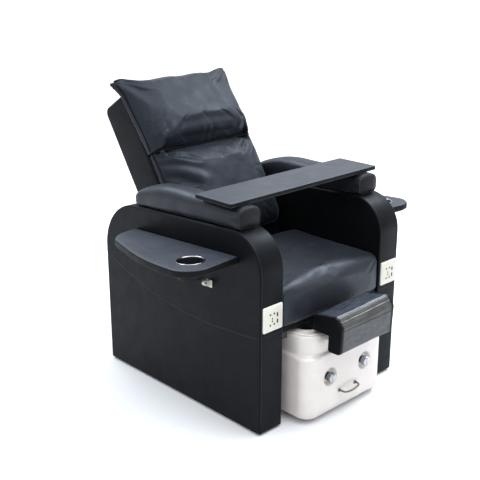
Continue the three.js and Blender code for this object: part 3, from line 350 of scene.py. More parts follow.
def dense_sides(shape, parts):
    """The outline with its long sides split evenly, so that nested outlines keep the same count."""
    result = []
    for i, p in enumerate(shape):
        q = shape[(i + 1) % len(shape)]
        n = parts if (q - p).length > 0.03 else 1
        result += [p.lerp(q, k / n) for k in range(n)]
    return result


def normals_of(points):
    """Outward unit normals of a closed outline that runs either way round."""
    area = sum(p.x * q.y - q.x * p.y for p, q in zip(points, points[1:] + points[:1]))
    sign = 1 if area > 0 else -1
    result = []
    for i, p in enumerate(points):
        a = (p - points[i - 1]).normalized()
        b = (points[(i + 1) % len(points)] - p).normalized()
        na, nb = Vector((a.y, -a.x)), Vector((b.y, -b.x))
        n = na + nb
        n = n / max(n.dot(na), 0.3) if n.length > 1e-6 else na
        result.append(n * sign)
    return result


def inset(points, distance):
    return [p - n * distance for p, n in zip(points, normals_of(points))]


def new_object(name, verts, faces, materials, body, slot, replaces=(), face_material=None):
    mesh = bpy.data.meshes.new(name)
    mesh.from_pydata([(x, y + FRONT, z) for x, y, z in verts], [], faces)
    for m in materials if isinstance(materials, (list, tuple)) else [materials]:
        mesh.materials.append(m)
    bm = bmesh.new()
    bm.from_mesh(mesh)
    bmesh.ops.remove_doubles(bm, verts=bm.verts, dist=1e-6)
    bmesh.ops.recalc_face_normals(bm, faces=bm.faces)
    bm.to_mesh(mesh)
    bm.free()
    if face_material:
        for p in mesh.polygons:
            p.material_index = face_material(p)
    for p in mesh.polygons:
        p.use_smooth = True
    mesh.set_sharp_from_angle(angle=SHARP_ANGLE)
    mesh.update()
    obj = bpy.data.objects.new(name, mesh)
    bpy.context.scene.collection.objects.link(obj)
    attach(obj, body)
    if replaces:
        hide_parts(*replaces)
    return obj


def ring_faces(rings, cap_start=True, cap_end=True, closed=True):
    count = len(rings[0])
    verts = [tuple(p) for ring in rings for p in ring]
    faces = []
    last = count if closed else count - 1
    for r in range(len(rings) - 1):
        for i in range(last):
            j = (i + 1) % count
            faces.append((r * count + i, r * count + j, (r + 1) * count + j, (r + 1) * count + i))
    if cap_start:
        faces.append(tuple(range(count)))
    if cap_end:
        faces.append(tuple((len(rings) - 1) * count + i for i in reversed(range(count))))
    return verts, faces


def edge_levels(low, high, radius, steps, flat):
    """(inset, height) pairs over a slab whose two faces meet its side in roundings."""
    up = []
    for k in range(steps + 1):
        a = math.pi / 2 * k / steps
        up.append((radius * (1 - math.sin(a)), low + radius * (1 - math.cos(a))))
    down = [(i, low + high - h) for i, h in reversed(up)]
    ends = ([(radius + flat, low)], [(radius + flat, high)]) if flat else ([], [])
    return ends[0] + up + down + ends[1]


def slab_rings(points, levels, place):
    rings = []
    for step, height in levels:
        rings.append([place(p.x, p.y, height) for p in inset(points, step)])
    return rings


def tube(points, radius, closed=False, sides=8):
    """A tube along points; its radius is a number, or a function of the share of the way along."""
    pts = [Vector(p) for p in points]
    count = len(pts)
    rings = []
    up = None
    for i, p in enumerate(pts):
        if closed:
            t = (pts[(i + 1) % count] - pts[i - 1]).normalized()
        else:
            t = (pts[min(i + 1, count - 1)] - pts[max(i - 1, 0)]).normalized()
        if up is None:
            up = Vector((0, 0, 1)) if abs(t.z) < 0.9 else Vector((0, 1, 0))
        up = (up - t * up.dot(t)).normalized()
        side = t.cross(up)
        r = radius(i / max(count - 1, 1)) if callable(radius) else radius
        rings.append([p + up * (r * math.cos(a)) + side * (r * math.sin(a)) for a in turns(sides)])
    if closed:
        rings.append(rings[0])
        return ring_faces(rings, False, False)
    return ring_faces(rings)


def joined_parts(parts):
    verts, faces = [], []
    for v, f in parts:
        base = len(verts)
        verts += v
        faces += [tuple(base + i for i in face) for face in f]
    return verts, faces


def piping(name, runs, radius, body, slot="leather", material=SEAM, closed=False, sides=8):
    parts = [tube(run, radius, closed, sides) for run in runs]
    return new_object(name, *joined_parts(parts), material, body, slot)


def stitches(name, runs, body, slot="leather", pitch=0.0065, length=0.0046, radius=0.00055):
    """Short thread stitches along each run of points."""
    parts = []
    for run in runs:
        pts = [Vector(p) for p in run]
        travelled = 0.0
        following = pitch / 2
        for a, b in zip(pts, pts[1:]):
            span = (b - a).length
            while span > 1e-9 and following <= travelled + span:
                centre = a.lerp(b, (following - travelled) / span)
                along = (b - a).normalized() * (length / 2)
                thread = [centre - along, centre - along * 0.4, centre + along * 0.4, centre + along]
                parts.append(tube(thread, lambda t: radius * (0.45 if t in (0, 1) else 1.0), sides=5))
                following += pitch
            travelled += span
    return new_object(name, *joined_parts(parts), THREAD, body, slot)


def back_point(x, n, u):
    return (x, n * math.cos(TILT) + u * math.sin(TILT), u * math.cos(TILT) - n * math.sin(TILT))


def apply_modifier(obj, modifier):
    bpy.context.view_layer.update()
    graph = bpy.context.evaluated_depsgraph_get()
    fresh = bpy.data.meshes.new_from_object(obj.evaluated_get(graph), depsgraph=graph)
    old = obj.data
    obj.modifiers.remove(modifier)
    obj.data = fresh
    bpy.data.meshes.remove(old)


def remesh(obj, size):
    m = obj.modifiers.new("remesh", "REMESH")
    m.mode = "VOXEL"
    m.voxel_size = size
    m.use_smooth_shade = True
    apply_modifier(obj, m)


def subdivide(obj, levels=1):
    m = obj.modifiers.new("subdivide", "SUBSURF")
    m.levels = levels
    m.render_levels = levels
    apply_modifier(obj, m)
    for p in obj.data.polygons:
        p.use_smooth = True


def inflate(obj, pinned, cap, pressure=4.0, frames=20, tension=15.0):
    """Swells a closed piece as stuffed cloth; pinned(co) says which points stay sewn in place."""
    start = [v.co.copy() for v in obj.data.vertices]
    group = obj.vertex_groups.new(name="sewn")
    for v in obj.data.vertices:
        weight = pinned(Vector((v.co.x, v.co.y - FRONT, v.co.z)))
        if weight > 0:
            group.add([v.index], weight, "REPLACE")
    m = obj.modifiers.new("cloth", "CLOTH")
    s = m.settings
    s.vertex_group_mass = "sewn"
    s.use_pressure = True
    s.uniform_pressure_force = pressure
    s.effector_weights.gravity = 0
    s.quality = 5
    s.mass = 0.3
    s.tension_stiffness = tension
    s.compression_stiffness = tension
    s.bending_stiffness = 0.4
    m.point_cache.frame_start = 1
    m.point_cache.frame_end = frames
    for f in range(1, frames + 1):
        bpy.context.scene.frame_set(f)
    apply_modifier(obj, m)
    bpy.context.scene.frame_set(1)
    for v, old in zip(obj.data.vertices, start):
        move = v.co - old
        if move.length > cap:
            v.co = old + move * (cap / move.length)
    obj.vertex_groups.clear()


def shape_points(obj, change):
    """Moves each point by change(point), with points measured from the panel fronts."""
    for v in obj.data.vertices:
        p = Vector((v.co.x, v.co.y - FRONT, v.co.z))
        q = change(p)
        v.co = (q[0], q[1] + FRONT, q[2])
    obj.data.update()


def snapped(run, pad, lift=0.0):
    """The same points, each moved onto the nearest place on the pad's surface."""
    tree = BVHTree.FromPolygons([v.co for v in pad.data.vertices],
                                [tuple(p.vertices) for p in pad.data.polygons])
    result = []
    for p in run:
        hit, normal, _, _ = tree.find_nearest(Vector((p[0], p[1] + FRONT, p[2])))
        q = hit + normal * lift
        result.append((q.x, q.y - FRONT, q.z))
    return result


# ---------- Side panels ----------
def panel_outline():
    rear_top = PANEL_TOP - SLOPE * PANEL_DEPTH
    return outline([
        (0, FLOOR_GAP, 0.007), (0, PANEL_TOP, 0.125), (PANEL_DEPTH, rear_top, 0.188),
        (PANEL_DEPTH, FLOOR_GAP, 0.007),
    ], 20)


def panel(side):
    name = "left" if side < 0 else "right"
    points = dense(panel_outline(), 0.03)
    place = lambda a, b, h: (side * h, a, b)
    levels = edge_levels(PANEL_INNER, PANEL_OUTER, 0.0055, 5, 0.001)
    verts, faces = ring_faces(slab_rings(points, levels, place))
    new_object(f"side_panel_{name}", verts, faces, PANEL_LEATHER, "chair", "panel_leather",
               [f"panel_cover_{name}"])
    # The cover is sewn along both rims of the panel's edge strip, and across low on its outer face.
    rim = [p for p in inset(points, 0.0004) if p.y > 0.03]
    start = max(range(len(rim)), key=lambda i: (rim[i] - rim[i - 1]).length)
    rim = rim[start:] + rim[:start]
    seams = (PANEL_OUTER - 0.0042, PANEL_INNER + 0.0070)
    runs = [[(side * (x - 0.0014), p.x, p.y) for p in rim] for x in seams]
    piping(f"panel_rim_seams_{name}", runs, 0.0011, "chair", "panel_leather")
    low = [(0.003, 0.350), (0.109, 0.342), (0.227, 0.333), (0.339, 0.333), (0.445, 0.342),
           (0.557, 0.361), (0.665, 0.391), (0.740, 0.418), (0.809, 0.447)]
    fine = []
    for (a, b), (c, d) in zip(low, low[1:]):
        for k in range(8):
            t = k / 8
            fine.append((a + (c - a) * t, b + (d - b) * (0.35 * smooth01(t) + 0.65 * t)))
    fine.append(low[-1])
    outer = [(side * (PANEL_OUTER - 0.0003), y, z) for y, z in fine]
    across = [(side * x, 0.0002, 0.350) for x in spread(PANEL_OUTER - 0.006, PANEL_INNER + 0.006, 10)]
    piping(f"panel_low_seam_{name}", [outer, across], 0.0010, "chair", "panel_leather")
    stitched = [(side * (PANEL_OUTER + 0.0002), y, z - 0.005) for y, z in fine[1:-1]]
    stitches(f"panel_stitches_{name}", [stitched], "chair", "panel_leather")


for side in (-1, 1):
    panel(side)


# ---------- Arm bolsters ----------
def bolster_top(y):
    """Height of the bolster's upper line; it falls away in a long rounding at the rear."""
    t = max(0.0, (y - 0.44) / (BOLSTER_Y1 - 0.44))
    return BOLSTER_TOP - 0.046 * t ** 1.9


def bolster(side):
    name = "left" if side < 0 else "right"
    stations = [BOLSTER_Y0 + d for d in (0, 0.0015, 0.004, 0.008, 0.013)]
    stations += [BOLSTER_Y0 + 0.02 + 0.008 * k for k in range(62)]
    stations = [y for y in stations if y < BOLSTER_Y1 - 0.030]
    stations += [BOLSTER_Y1 - d for d in (0.027, 0.02, 0.014, 0.009, 0.005, 0.002, 0)]
    rings = []
    for y in stations:
        front = (y - BOLSTER_Y0) / 0.013
        rear = (BOLSTER_Y1 - y) / 0.036
        shrink = 1.0
        if front < 1:
            shrink = 0.925 + 0.075 * math.sqrt(1 - (1 - front) ** 2)
        if rear < 1:
            shrink = 0.80 + 0.20 * math.sqrt(1 - (1 - rear) ** 2)
        low = PANEL_TOP - SLOPE * y + 0.0006
        if y < 0.125:
            low -= 0.125 - math.sqrt(0.125 ** 2 - (0.125 - y) ** 2)
        high = bolster_top(y)
        mid, half = (low + high) / 2, (high - low) / 2
        ring = []
        for a in turns(72):
            c, s = math.cos(a), math.sin(a)
            power = 0.80 if s > 0 else 0.42
            px = math.copysign(abs(c) ** power, c)
            pz = math.copysign(abs(s) ** power, s)
            gather = math.exp(-((y - BOLSTER_Y0 - 0.014) / 0.020) ** 2)
            pull = 0.0014 * math.sin(a * 17 + 1.3 * math.sin(a * 3)) * gather
            soft = 0.0016 * wobble(px * 0.05, y, pz * 0.05, 16.0, 5.0 + side)
            r = (1 + (pull + soft) / 0.05) * shrink
            x = px * BOLSTER_HALF * 0.965 * r
            z = mid + pz * half * (0.98 if s > 0 else 1.0) * (r if s > -0.35 else min(r, 1.0))
            ring.append((side * BOLSTER_X + x, y, max(z, low)))
        rings.append(ring)

    def crown(ring, way, bulge):
        """Rings of an end cap that runs in to a point a little proud of its border seam."""
        cx = sum(p[0] for p in ring) / len(ring)
        cz = sum(p[2] for p in ring) / len(ring)
        out = []
        for t in (0.985, 0.94, 0.86, 0.74, 0.58, 0.40, 0.20):
            out.append([
                (cx + (p[0] - cx) * t, p[1] + way * bulge * (1 - t ** 2.2) ** 0.8,
                 cz + (p[2] - cz) * t) for p in ring
            ])
        return out

    rings = list(reversed(crown(rings[0], -1, 0.010))) + rings + crown(rings[-1], 1, 0.007)
    verts, faces = ring_faces(rings)
    # Faces that look forward take the darker cap leather: painted shade on the bolster's front end.
    cap = lambda p: 1 if p.normal.y < -0.80 else 0
    pad = new_object(f"bolster_{name}", verts, faces, [LEATHER, SHADED_CAP_LEATHER], "chair", "leather",
                     [f"arm_bolster_{name}"], face_material=cap)
    piping(f"bolster_front_welt_{name}", [rings[8]], 0.0017, "chair", closed=True)
    inner = [(x - side * 0.0005, y, z) for x, y, z in [ring[30 if side > 0 else 6] for ring in rings[12:-12]]]
    piping(f"bolster_side_seam_{name}", [inner], 0.0009, "chair")


for side in (-1, 1):
    bolster(side)


# ---------- Manicure board ----------
def board():
    points = dense(rectangle(-BOARD_HALF, BOARD_Y0, BOARD_HALF, BOARD_Y1, 0.006, 5), 0.02)
    rings = []
    for step, h in edge_levels(BOARD_Z0, BOARD_Z1, 0.0030, 4, 0.002):
        rings.append([(p.x, p.y, h + 0.0004 * wobble(p.x, p.y, 0, 9.0, 2.0)) for p in inset(points, step)])
    verts, faces = ring_faces(rings)
    # Faces that turn away from up take the darker panel leather: painted shade on the board's edges, below a top
    # in a painted-lit copy of the leather.
    edge = lambda p: 1 if p.normal.z < 0.6 else 0
    new_object("board_visual", verts, faces, [BOARD_LIT_LEATHER, PANEL_LEATHER], "manicure_board", "leather",
               ["manicure_board"], face_material=edge)
    seam = [(p.x, p.y, BOARD_Z0 + 0.0022) for p in inset(points, -0.0001)]
    piping("board_edge_seam", [seam], 0.0007, "manicure_board", closed=True, sides=6)


board()


# ---------- Side trays, cup liners and catches ----------
def tray_outline():
    return dense(outline([
        (TRAY_WALL, 0.100, 0.0), (0.5753, 0.078, 0.080), (0.5660, 0.320, 0.850), (0.4700, 0.614, 0.112),
        (TRAY_WALL, 0.626, 0.0),
    ], 16), 0.015)


def tray(side):
    name = "left" if side < 0 else "right"
    points = tray_outline()
    place = lambda a, b, h: (side * a, b, tray_top_at(b) + h)
    levels = edge_levels(-0.025, 0.001, 0.0075, 7, 0.010)
    rings = []
    norms = normals_of(points)
    for step, h in levels:
        ring = []
        for p, n in zip(points, norms):
            q = p - n * step
            q.x = max(q.x, TRAY_WALL + 0.0001)
            ring.append(place(q.x, q.y, h))
        rings.append(ring)
    verts, faces = ring_faces(rings)
    # Faces that turn away from up take the darker leather, painted shade on the tray's sides; the top keeps the
    # painted-lit copy.
    shaded_band = lambda p: 1 if p.normal.z < 0.55 else 0
    top = new_object(f"tray_{name}", verts, faces, [TRAY_LIT_LEATHER, TRAY_SHADED_EDGE_LEATHER], "chair", "leather",
                     [f"side_tray_{name}"],
                     face_material=shaded_band)
    cutter = bpy.data.objects.new("cutter", bpy.data.meshes.new("cutter"))
    hole = CUP_R + 0.0004
    circle = [(side * CUP_X + hole * math.cos(a), CUP_Y + hole * math.sin(a)) for a in turns(64)]
    verts, faces = ring_faces([[(x, y, z) for x, y in circle] for z in (0.50, 0.70)])
    cutter.data.from_pydata([(x, y + FRONT, z) for x, y, z in verts], [], faces)
    bpy.context.scene.collection.objects.link(cutter)
    m = top.modifiers.new("hole", "BOOLEAN")
    m.object = cutter
    m.operation = "DIFFERENCE"
    m.solver = "EXACT"
    apply_modifier(top, m)
    top.data.set_sharp_from_angle(angle=SHARP_ANGLE)
    bpy.data.objects.remove(cutter)
    under = []
    for p in inset(points, 0.0002):
        if p.x > TRAY_WALL + 0.0017:
            under.append((side * p.x, p.y, tray_top_at(p.y) - 0.0205))
    piping(f"tray_edge_seam_{name}", [under], 0.0009, "chair")

    def lathe(profile):
        rings = []
        for r, h in profile:
            ring = []
            for a in turns(64):
                x, y = CUP_X * side + r * math.cos(a), CUP_Y + r * math.sin(a)
                ring.append((x, y, tray_top_at(y) + h))
            rings.append(ring)
        return rings

    well = [(0.0005, -0.0555), (0.036, -0.0555), (0.041, -0.0535), (0.0438, -0.0480), (0.0438, -0.002),
            (0.0438, -0.0002),
            (0.0425, 0.0000), (0.0415, -0.002), (0.0415, -0.0475), (0.040, -0.0515), (0.036, -0.0530),
            (0.0005, -0.0532)]
    verts, faces = ring_faces(lathe(well))
    new_object(f"cup_well_{name}", verts, faces, CUP_BLACK, "chair", "black_plastic", [f"cup_liner_{name}"])
    rim = [(0.0424, 0.0012), (0.0456, 0.0012), (0.0464, 0.0016), (0.0462, 0.0023), (0.0452, 0.0028),
           (0.0440, 0.0029),
           (0.0426, 0.0025), (0.0418, 0.0016), (0.0416, -0.0010), (0.0420, -0.0010), (0.0424, 0.0012)]
    verts, faces = ring_faces(lathe(rim), False, False)
    new_object(f"cup_rim_{name}", verts, faces, CHROME, "chair", "chrome")


def tray_catch(side):
    name = "left" if side < 0 else "right"
    at = lambda out, a, b: (side * (TRAY_WALL + out), CATCH_Y + a, CATCH_Z + b)
    base = dense(rectangle(-0.013, -0.013, 0.013, 0.013, 0.003, 4), 0.01)
    rings = slab_rings(base, edge_levels(0.0, 0.003, 0.001, 3, 0.001), lambda a, b, h: at(h, a, b))
    parts = [ring_faces(rings)]
    nose = dense(outline([(0.002, -0.010, 0), (0.030, 0.0, 0.0085), (0.030, 0.0165, 0.0085),
                          (0.002, 0.012, 0)], 6), 0.01)
    rings = slab_rings(nose, edge_levels(-0.006, 0.006, 0.0015, 3, 0.0), lambda a, b, h: at(a, h, b))
    parts.append(ring_faces(rings))
    new_object(f"catch_{name}", *joined_parts(parts), CREAM, "chair", "cream_plastic", [f"tray_catch_{name}"])
    screws = []
    for dz in (-0.0095, 0.0095):
        head = ((0.0024, 0.0), (0.0024, 0.0006), (0.0016, 0.0012))
        screws.append(ring_faces([
            [at(0.003 + h, 0.009 + r * math.cos(a), dz + r * math.sin(a)) for a in turns(16)] for r, h in head
        ]))
    new_object(f"catch_screws_{name}", *joined_parts(screws), CHROME, "chair", "cream_plastic")
    eye = ((0.0036, -0.0060), (0.0036, -0.0063), (0.0030, -0.0061))
    dark = [[at(0.0215 + r * math.cos(a), h, 0.0075 + r * math.sin(a)) for a in turns(20)] for r, h in eye]
    new_object(f"catch_eye_{name}", *ring_faces(dark), PIN_BLACK, "chair", "cream_plastic")


for side in (-1, 1):
    tray(side)
    tray_catch(side)


# ---------- Socket plates ----------
def plate(side):
    name = "left" if side < 0 else "right"
    cx, cz = side * PLATE_X, PLATE_Z
    place = lambda a, b, h: (cx + a, -0.0003 - h, cz + b)

    def square(step):
        half = PLATE_HALF - step
        return dense_sides(rectangle(-half, -half, half, half, max(0.0045 - step, 0.0012), 6), 8)
    levels = [(0.0, 0.0), (0.0, 0.0035), (0.0006, 0.0046), (0.0018, 0.0052), (0.0040, 0.0055), (0.0052, 0.0055),
              (0.0058, 0.0050), (0.0064, 0.0055), (0.0090, 0.0058), (0.0100, 0.0058)]
    verts, faces = ring_faces([[place(p.x, p.y, h) for p in square(step)] for step, h in levels], True, True)

    def zone(p):
        c = p.center
        return 1 if max(abs(c.x - cx), abs(c.z - cz)) > 0.0372 and c.y < FRONT - 0.002 else 0
    new_object(f"plate_{name}", verts, faces, [CREAM, CREAM_BORDER], "chair", "cream_plastic",
               [f"socket_plate_{name}"], face_material=zone)
    marks = []

    def mark(x, z, w, h, r):
        shape = rectangle(x - w / 2, z - h / 2, x + w / 2, z + h / 2, r, 5)
        edge = [(0.0, 0.0050), (0.0, 0.0062), (0.0003, 0.0064), (0.0007, 0.0061)]
        marks.append(ring_faces(slab_rings(shape, edge, place)))

    for x, z in ((-0.014, 0.0155), (0.0035, 0.016), (-0.014, -0.0205), (0.004, -0.020)):
        mark(x, z, 0.0072, 0.0066, 0.0030)
    for x, z, w, h in ((0.018, 0.0095, 0.0064, 0.0135), (0.018, -0.013, 0.0064, 0.0135),
                       (-0.005, 0.0005, 0.0042, 0.0062), (-0.005, -0.0085, 0.0050, 0.0054)):
        mark(x, z, w, h, 0.0012)
    new_object(f"plate_holes_{name}", *joined_parts(marks), PIN_BLACK, "chair", "cream_plastic")


for side in (-1, 1):
    plate(side)


# ---------- Seat cushion ----------
def seat_cushion():
    """Rounded-nose cushion, boxed at its sides, swelling most at its middle."""
    profile = dense(outline([
        (SEAT_Y0, SEAT_Z0, 0.012), (SEAT_Y1, SEAT_Z0, 0.006), (SEAT_Y1, SEAT_Z1, 0.030),
        (SEAT_Y0, SEAT_Z1, 0.034),
    ], 9), 0.011)
    rings = []
    for t in spread(-1, 1, 60):
        # Points crowd towards the sides, where the boxing turns over.
        x = SEAT_HALF * math.copysign(1 - (1 - abs(t)) ** 1.35, t)
        edge = 1 - abs(x) / SEAT_HALF
        round_off = 0.0075 * (1 - math.sqrt(max(0.0, 1 - (1 - min(edge / 0.030, 1)) ** 2)))
        crown = 0.0055 * (1 - (abs(x) / SEAT_HALF) ** 3)
        ring = []
        for p, n in zip(profile, normals_of(profile)):
            grow = crown if p.y > 0.40 or p.x < 0.02 else 0
            d = grow - round_off * (1.0 if (p.y > 0.40 or p.x < 0.03) else 0.35)
            q = p + n * d
            top = smooth01((q.y - 0.44) / 0.05)
            nose = smooth01((0.10 - q.x) / 0.10)
            ripple = 0.0016 * wobble(x, q.x, q.y, 9.0, 4.0) * (top + nose)
            q = q + n * ripple
            ring.append((x, q.x, max(q.y, 0.3555)))
        rings.append(ring)
    return new_object("seat_pad", *ring_faces(rings), LEATHER, "chair", "leather", ["seat_cushion"])


seat_pad = seat_cushion()
remesh(seat_pad, 0.006)
inflate(seat_pad, lambda p: 1.0 if (p.z < 0.366 or p.y > 0.40 or abs(p.x) > 0.240) else 0.0, 0.006,
        pressure=3.0)
subdivide(seat_pad)
shape_points(seat_pad, lambda p: (max(min(p.x, 0.2455), -0.2455), max(p.y, -0.004), max(p.z, 0.3552)))
low_seam = [(0.232 * t, 0.0035 - 0.003 * math.cos(math.pi * t / 2), 0.372) for t in spread(-1, 1, 40)]
piping("seat_front_seam_low", [low_seam], 0.0012, "chair")


def seat_apron():
    """Leather strip that covers the deck's front edge under the cushion."""
    shape = dense(rectangle(-0.2405, 0.3352, 0.2405, 0.3585, 0.002, 3), 0.02)
    levels = edge_levels(-0.0118, -0.0096, 0.0009, 3, 0.0008)
    verts, faces = ring_faces(slab_rings(shape, levels, lambda a, b, h: (a, -h, b)))
    new_object("seat_apron", verts, faces, PANEL_LEATHER, "chair", "panel_leather")


seat_apron()


# ---------- Back ----------
def back_shell():
    """Open-bottomed upholstered shell, with a notch for the actuator's rod."""
    rear_n = SHELL_N + SHELL_DEPTH
    shape = outline([(SHELL_N, SHELL_U0, 0), (SHELL_N, SHELL_U1, 0.006), (rear_n, SHELL_U1, 0.024),
                     (rear_n, SHELL_U0, 0)], 8)
    notch_half, notch_u = 0.032, SHELL_U0 + 0.042
    shape = shape[:-1] + [Vector((rear_n, notch_u + 0.30)), Vector((rear_n, notch_u)), shape[-1]]
    shape.insert(1, Vector((SHELL_N, notch_u)))
    centre_n = SHELL_N + SHELL_DEPTH / 2
    # Stations across, each with how far the side's rounding draws the section in.
    r = 0.008
    angles = spread(0, math.pi / 2, 5)
    right = [(BACK_HALF - r + r * math.sin(a), r * (1 - math.cos(a))) for a in angles]
    xs = [(-x, d) for x, d in reversed(right)] + [(-notch_half, 0.0), (notch_half, 0.0)] + right
    rings = []
    for x, d in xs:
        ring = []
        for p in shape:
            n = p.x + (d if p.x < centre_n else -d)
            u = p.y - (d if p.y > SHELL_U1 - 0.03 else 0)
            if p.x > centre_n:
                n += 0.008 * smooth01((u - SHELL_U0) / (SHELL_U1 - SHELL_U0))
            ring.append(back_point(x, n, u))
        rings.append(ring)
    count = len(shape)
    verts = [p for ring in rings for p in ring]
    faces = []
    for i in range(len(rings) - 1):
        for k in range(count - 1):
            if xs[i][0] == -notch_half and k == count - 2:
                continue
            a, b = i * count + k, i * count + k + 1
            faces.append((a, b, b + count, a + count))
    faces.append(tuple(range(count)))
    faces.append(tuple((len(rings) - 1) * count + k for k in range(count)))
    shell = new_object("back_shell_visual", verts, faces, PANEL_LEATHER, "backrest", "panel_leather",
                       ["back_shell"])
    m = shell.modifiers.new("wall", "SOLIDIFY")
    m.thickness = 0.007
    m.offset = -1
    m.use_even_offset = True
    apply_modifier(shell, m)
    # Rear and side seams of the cover.
    side_runs = []
    for x in (-BACK_HALF - 0.0001, BACK_HALF + 0.0001):
        run = spread(SHELL_U0 + 0.06, SHELL_U0 + 0.66, 30)
        side_runs.append([back_point(x, SHELL_N + 0.018, u) for u in run])
    piping("shell_side_seams", side_runs, 0.0010, "backrest", "panel_leather")
    across = spread(-BACK_HALF + 0.012, BACK_HALF - 0.012, 24)
    runs = [[back_point(x, rear_n + 0.003, 0.86) for x in across]]
    for x in (-BACK_HALF + 0.007, BACK_HALF - 0.007):
        runs.append([back_point(x, rear_n + 0.004, u) for u in spread(SHELL_U0 + 0.05, SHELL_U0 + 0.67, 24)])
    piping("shell_rear_seams", [snapped(run, shell) for run in runs], 0.0011, "backrest", "panel_leather")
    below = snapped([back_point(x, rear_n + 0.003, 0.854) for x in across], shell, 0.0002)
    stitches("shell_rear_stitches", [below], "backrest", "panel_leather")


back_shell()


def fold(x, u, x0, u0, x1, u1, width, depth):
    """Valley along a line, with a ridge beside it; fades at both ends."""
    ax, au = x1 - x0, u1 - u0
    length = math.hypot(ax, au)
    t = ((x - x0) * ax + (u - u0) * au) / length ** 2
    d = ((x - x0) * au - (u - u0) * ax) / length
    fade = smooth01((t + 0.12) / 0.2) * smooth01((1.12 - t) / 0.45)
    wide = width * (0.7 + 0.6 * min(max(t, 0), 1))
    return fade * depth * (-math.exp(-(d / wide) ** 2) + 0.75 * math.exp(-((d - 1.9 * wide) / (1.3 * wide)) ** 2))


def crowded(parts):
    """Values from -1 to 1 that crowd towards both ends."""
    return [math.copysign(1 - (1 - abs(t)) ** 1.6, t) for t in spread(-1, 1, parts)]


def pad_grid(columns, rows, half_at, u0, u1, height):
    """Closed pad on the back shell: a front sheet over (x, u) and a flat rear sheet."""
    front, rear = [], []
    for w in crowded(rows - 1):
        for s in crowded(columns - 1):
            u = (u0 + u1) / 2 + w * (u1 - u0) / 2
            x = s * half_at(u)
            front.append((x, SHELL_N - height(s, w, x, u), u))
            rear.append((x, SHELL_N - 0.0006, u))
    verts = [back_point(*p) for p in front + rear]
    total = rows * columns
    faces = []
    for j in range(rows - 1):
        for i in range(columns - 1):
            a = j * columns + i
            faces.append((a, a + 1, a + 1 + columns, a + columns))
            b = total + a
            faces.append((b, b + columns, b + 1 + columns, b + 1))
    for j in range(rows - 1):
        for i in (0, columns - 1):
            a, b = j * columns + i, (j + 1) * columns + i
            faces.append((a, b, total + b, total + a))
    for i in range(columns - 1):
        for j in (0, rows - 1):
            a = j * columns + i
            faces.append((a, a + 1, total + a + 1, total + a))
    return verts, faces


def dome(t, power, sharp):
    return (1 - abs(t) ** power) ** sharp


def to_back(p):
    y, z = p[1], p[2]
    return p[0], y * math.cos(TILT) - z * math.sin(TILT), y * math.sin(TILT) + z * math.cos(TILT)


def end_fill(x):
    """1 where the crease between the two back pads closes up, at its ends."""
    return smooth01((abs(x) - 0.196) / 0.022)


def lower_height(s, w, x, u):
    across = dome(w, 6, 0.45)
    if w > 0:
        across += (1 - across) * end_fill(x)
    return 0.004 + max(0.101 * dome(s, 7, 0.55) * across, 0.0)


def pillow_half(u):
    t = (u - CREASE_U) / (PILLOW_U1 - CREASE_U)
    return 0.2375 + 0.0245 * t + 0.016 * smooth01((t - 0.74) / 0.26)


def pillow_height(s, w, x, u):
    t = (u - CREASE_U) / (PILLOW_U1 - CREASE_U)
    body = 0.106 * dome(s, 7, 0.55)
    low = math.sqrt(max(0.0, 1 - (1 - min(t / 0.16, 1)) ** 2))
    low += (1 - low) * end_fill(x)
    top = 1 - 0.64 * max(0.0, (t - 0.20) / 0.80) ** 1.25
    close = math.sqrt(max(0.0, 1 - max(0.0, (t - 0.965) / 0.035) ** 2))
    return 0.004 + body * low * top * close


verts, faces = pad_grid(49, 41, lambda u: 0.2335, CUSHION_U0 + 0.002, CREASE_U - 0.001, lower_height)
lower_pad = new_object("lower_pad", verts, faces, BACK_LEATHER, "backrest", "leather", ["lower_back_cushion"])
remesh(lower_pad, 0.0055)
verts, faces = pad_grid(49, 41, pillow_half, CREASE_U + 0.001, PILLOW_U1 - 0.004, pillow_height)
pillow_pad = new_object("pillow_pad", verts, faces, BACK_LEATHER, "backrest", "leather", ["head_pillow"])
remesh(pillow_pad, 0.0055)


def sewn_to_shell(p):
    x, n, u = to_back(p)
    return 1.0 if n > SHELL_N - 0.020 else 0.0


inflate(lower_pad, sewn_to_shell, 0.008, pressure=3.5)
inflate(pillow_pad, sewn_to_shell, 0.008, pressure=3.5)
subdivide(lower_pad)
subdivide(pillow_pad)


def shape_lower(p):
    x, n, u = to_back(p)
    out = SHELL_N - n
    face = smooth01((out - 0.02) / 0.03)
    d = 0.0
    # Folds that run from the crease's left end, and slack dimples under the crease.
    for line in ((-0.236, 1.034, -0.100, 0.972, 0.012, 0.0080), (-0.236, 1.000, -0.085, 0.915, 0.015, 0.0068),
                 (-0.236, 0.955, -0.130, 0.870, 0.015, 0.0045)):
        d += fold(x, u, *line)
    for x0, depth in ((0.060, 0.0030), (0.110, 0.0035), (0.165, 0.0030)):
        d += fold(x, u, x0, 1.040, x0 + 0.014, 0.985, 0.010, depth)
    d += 0.0035 * wobble(x, u, 0, 9.0, 7.0) + 0.0013 * wobble(x, u, 0, 26.0, 9.0)
    n -= d * face
    return back_point(x, min(n, SHELL_N - 0.0004), min(u, CREASE_U + 0.004))


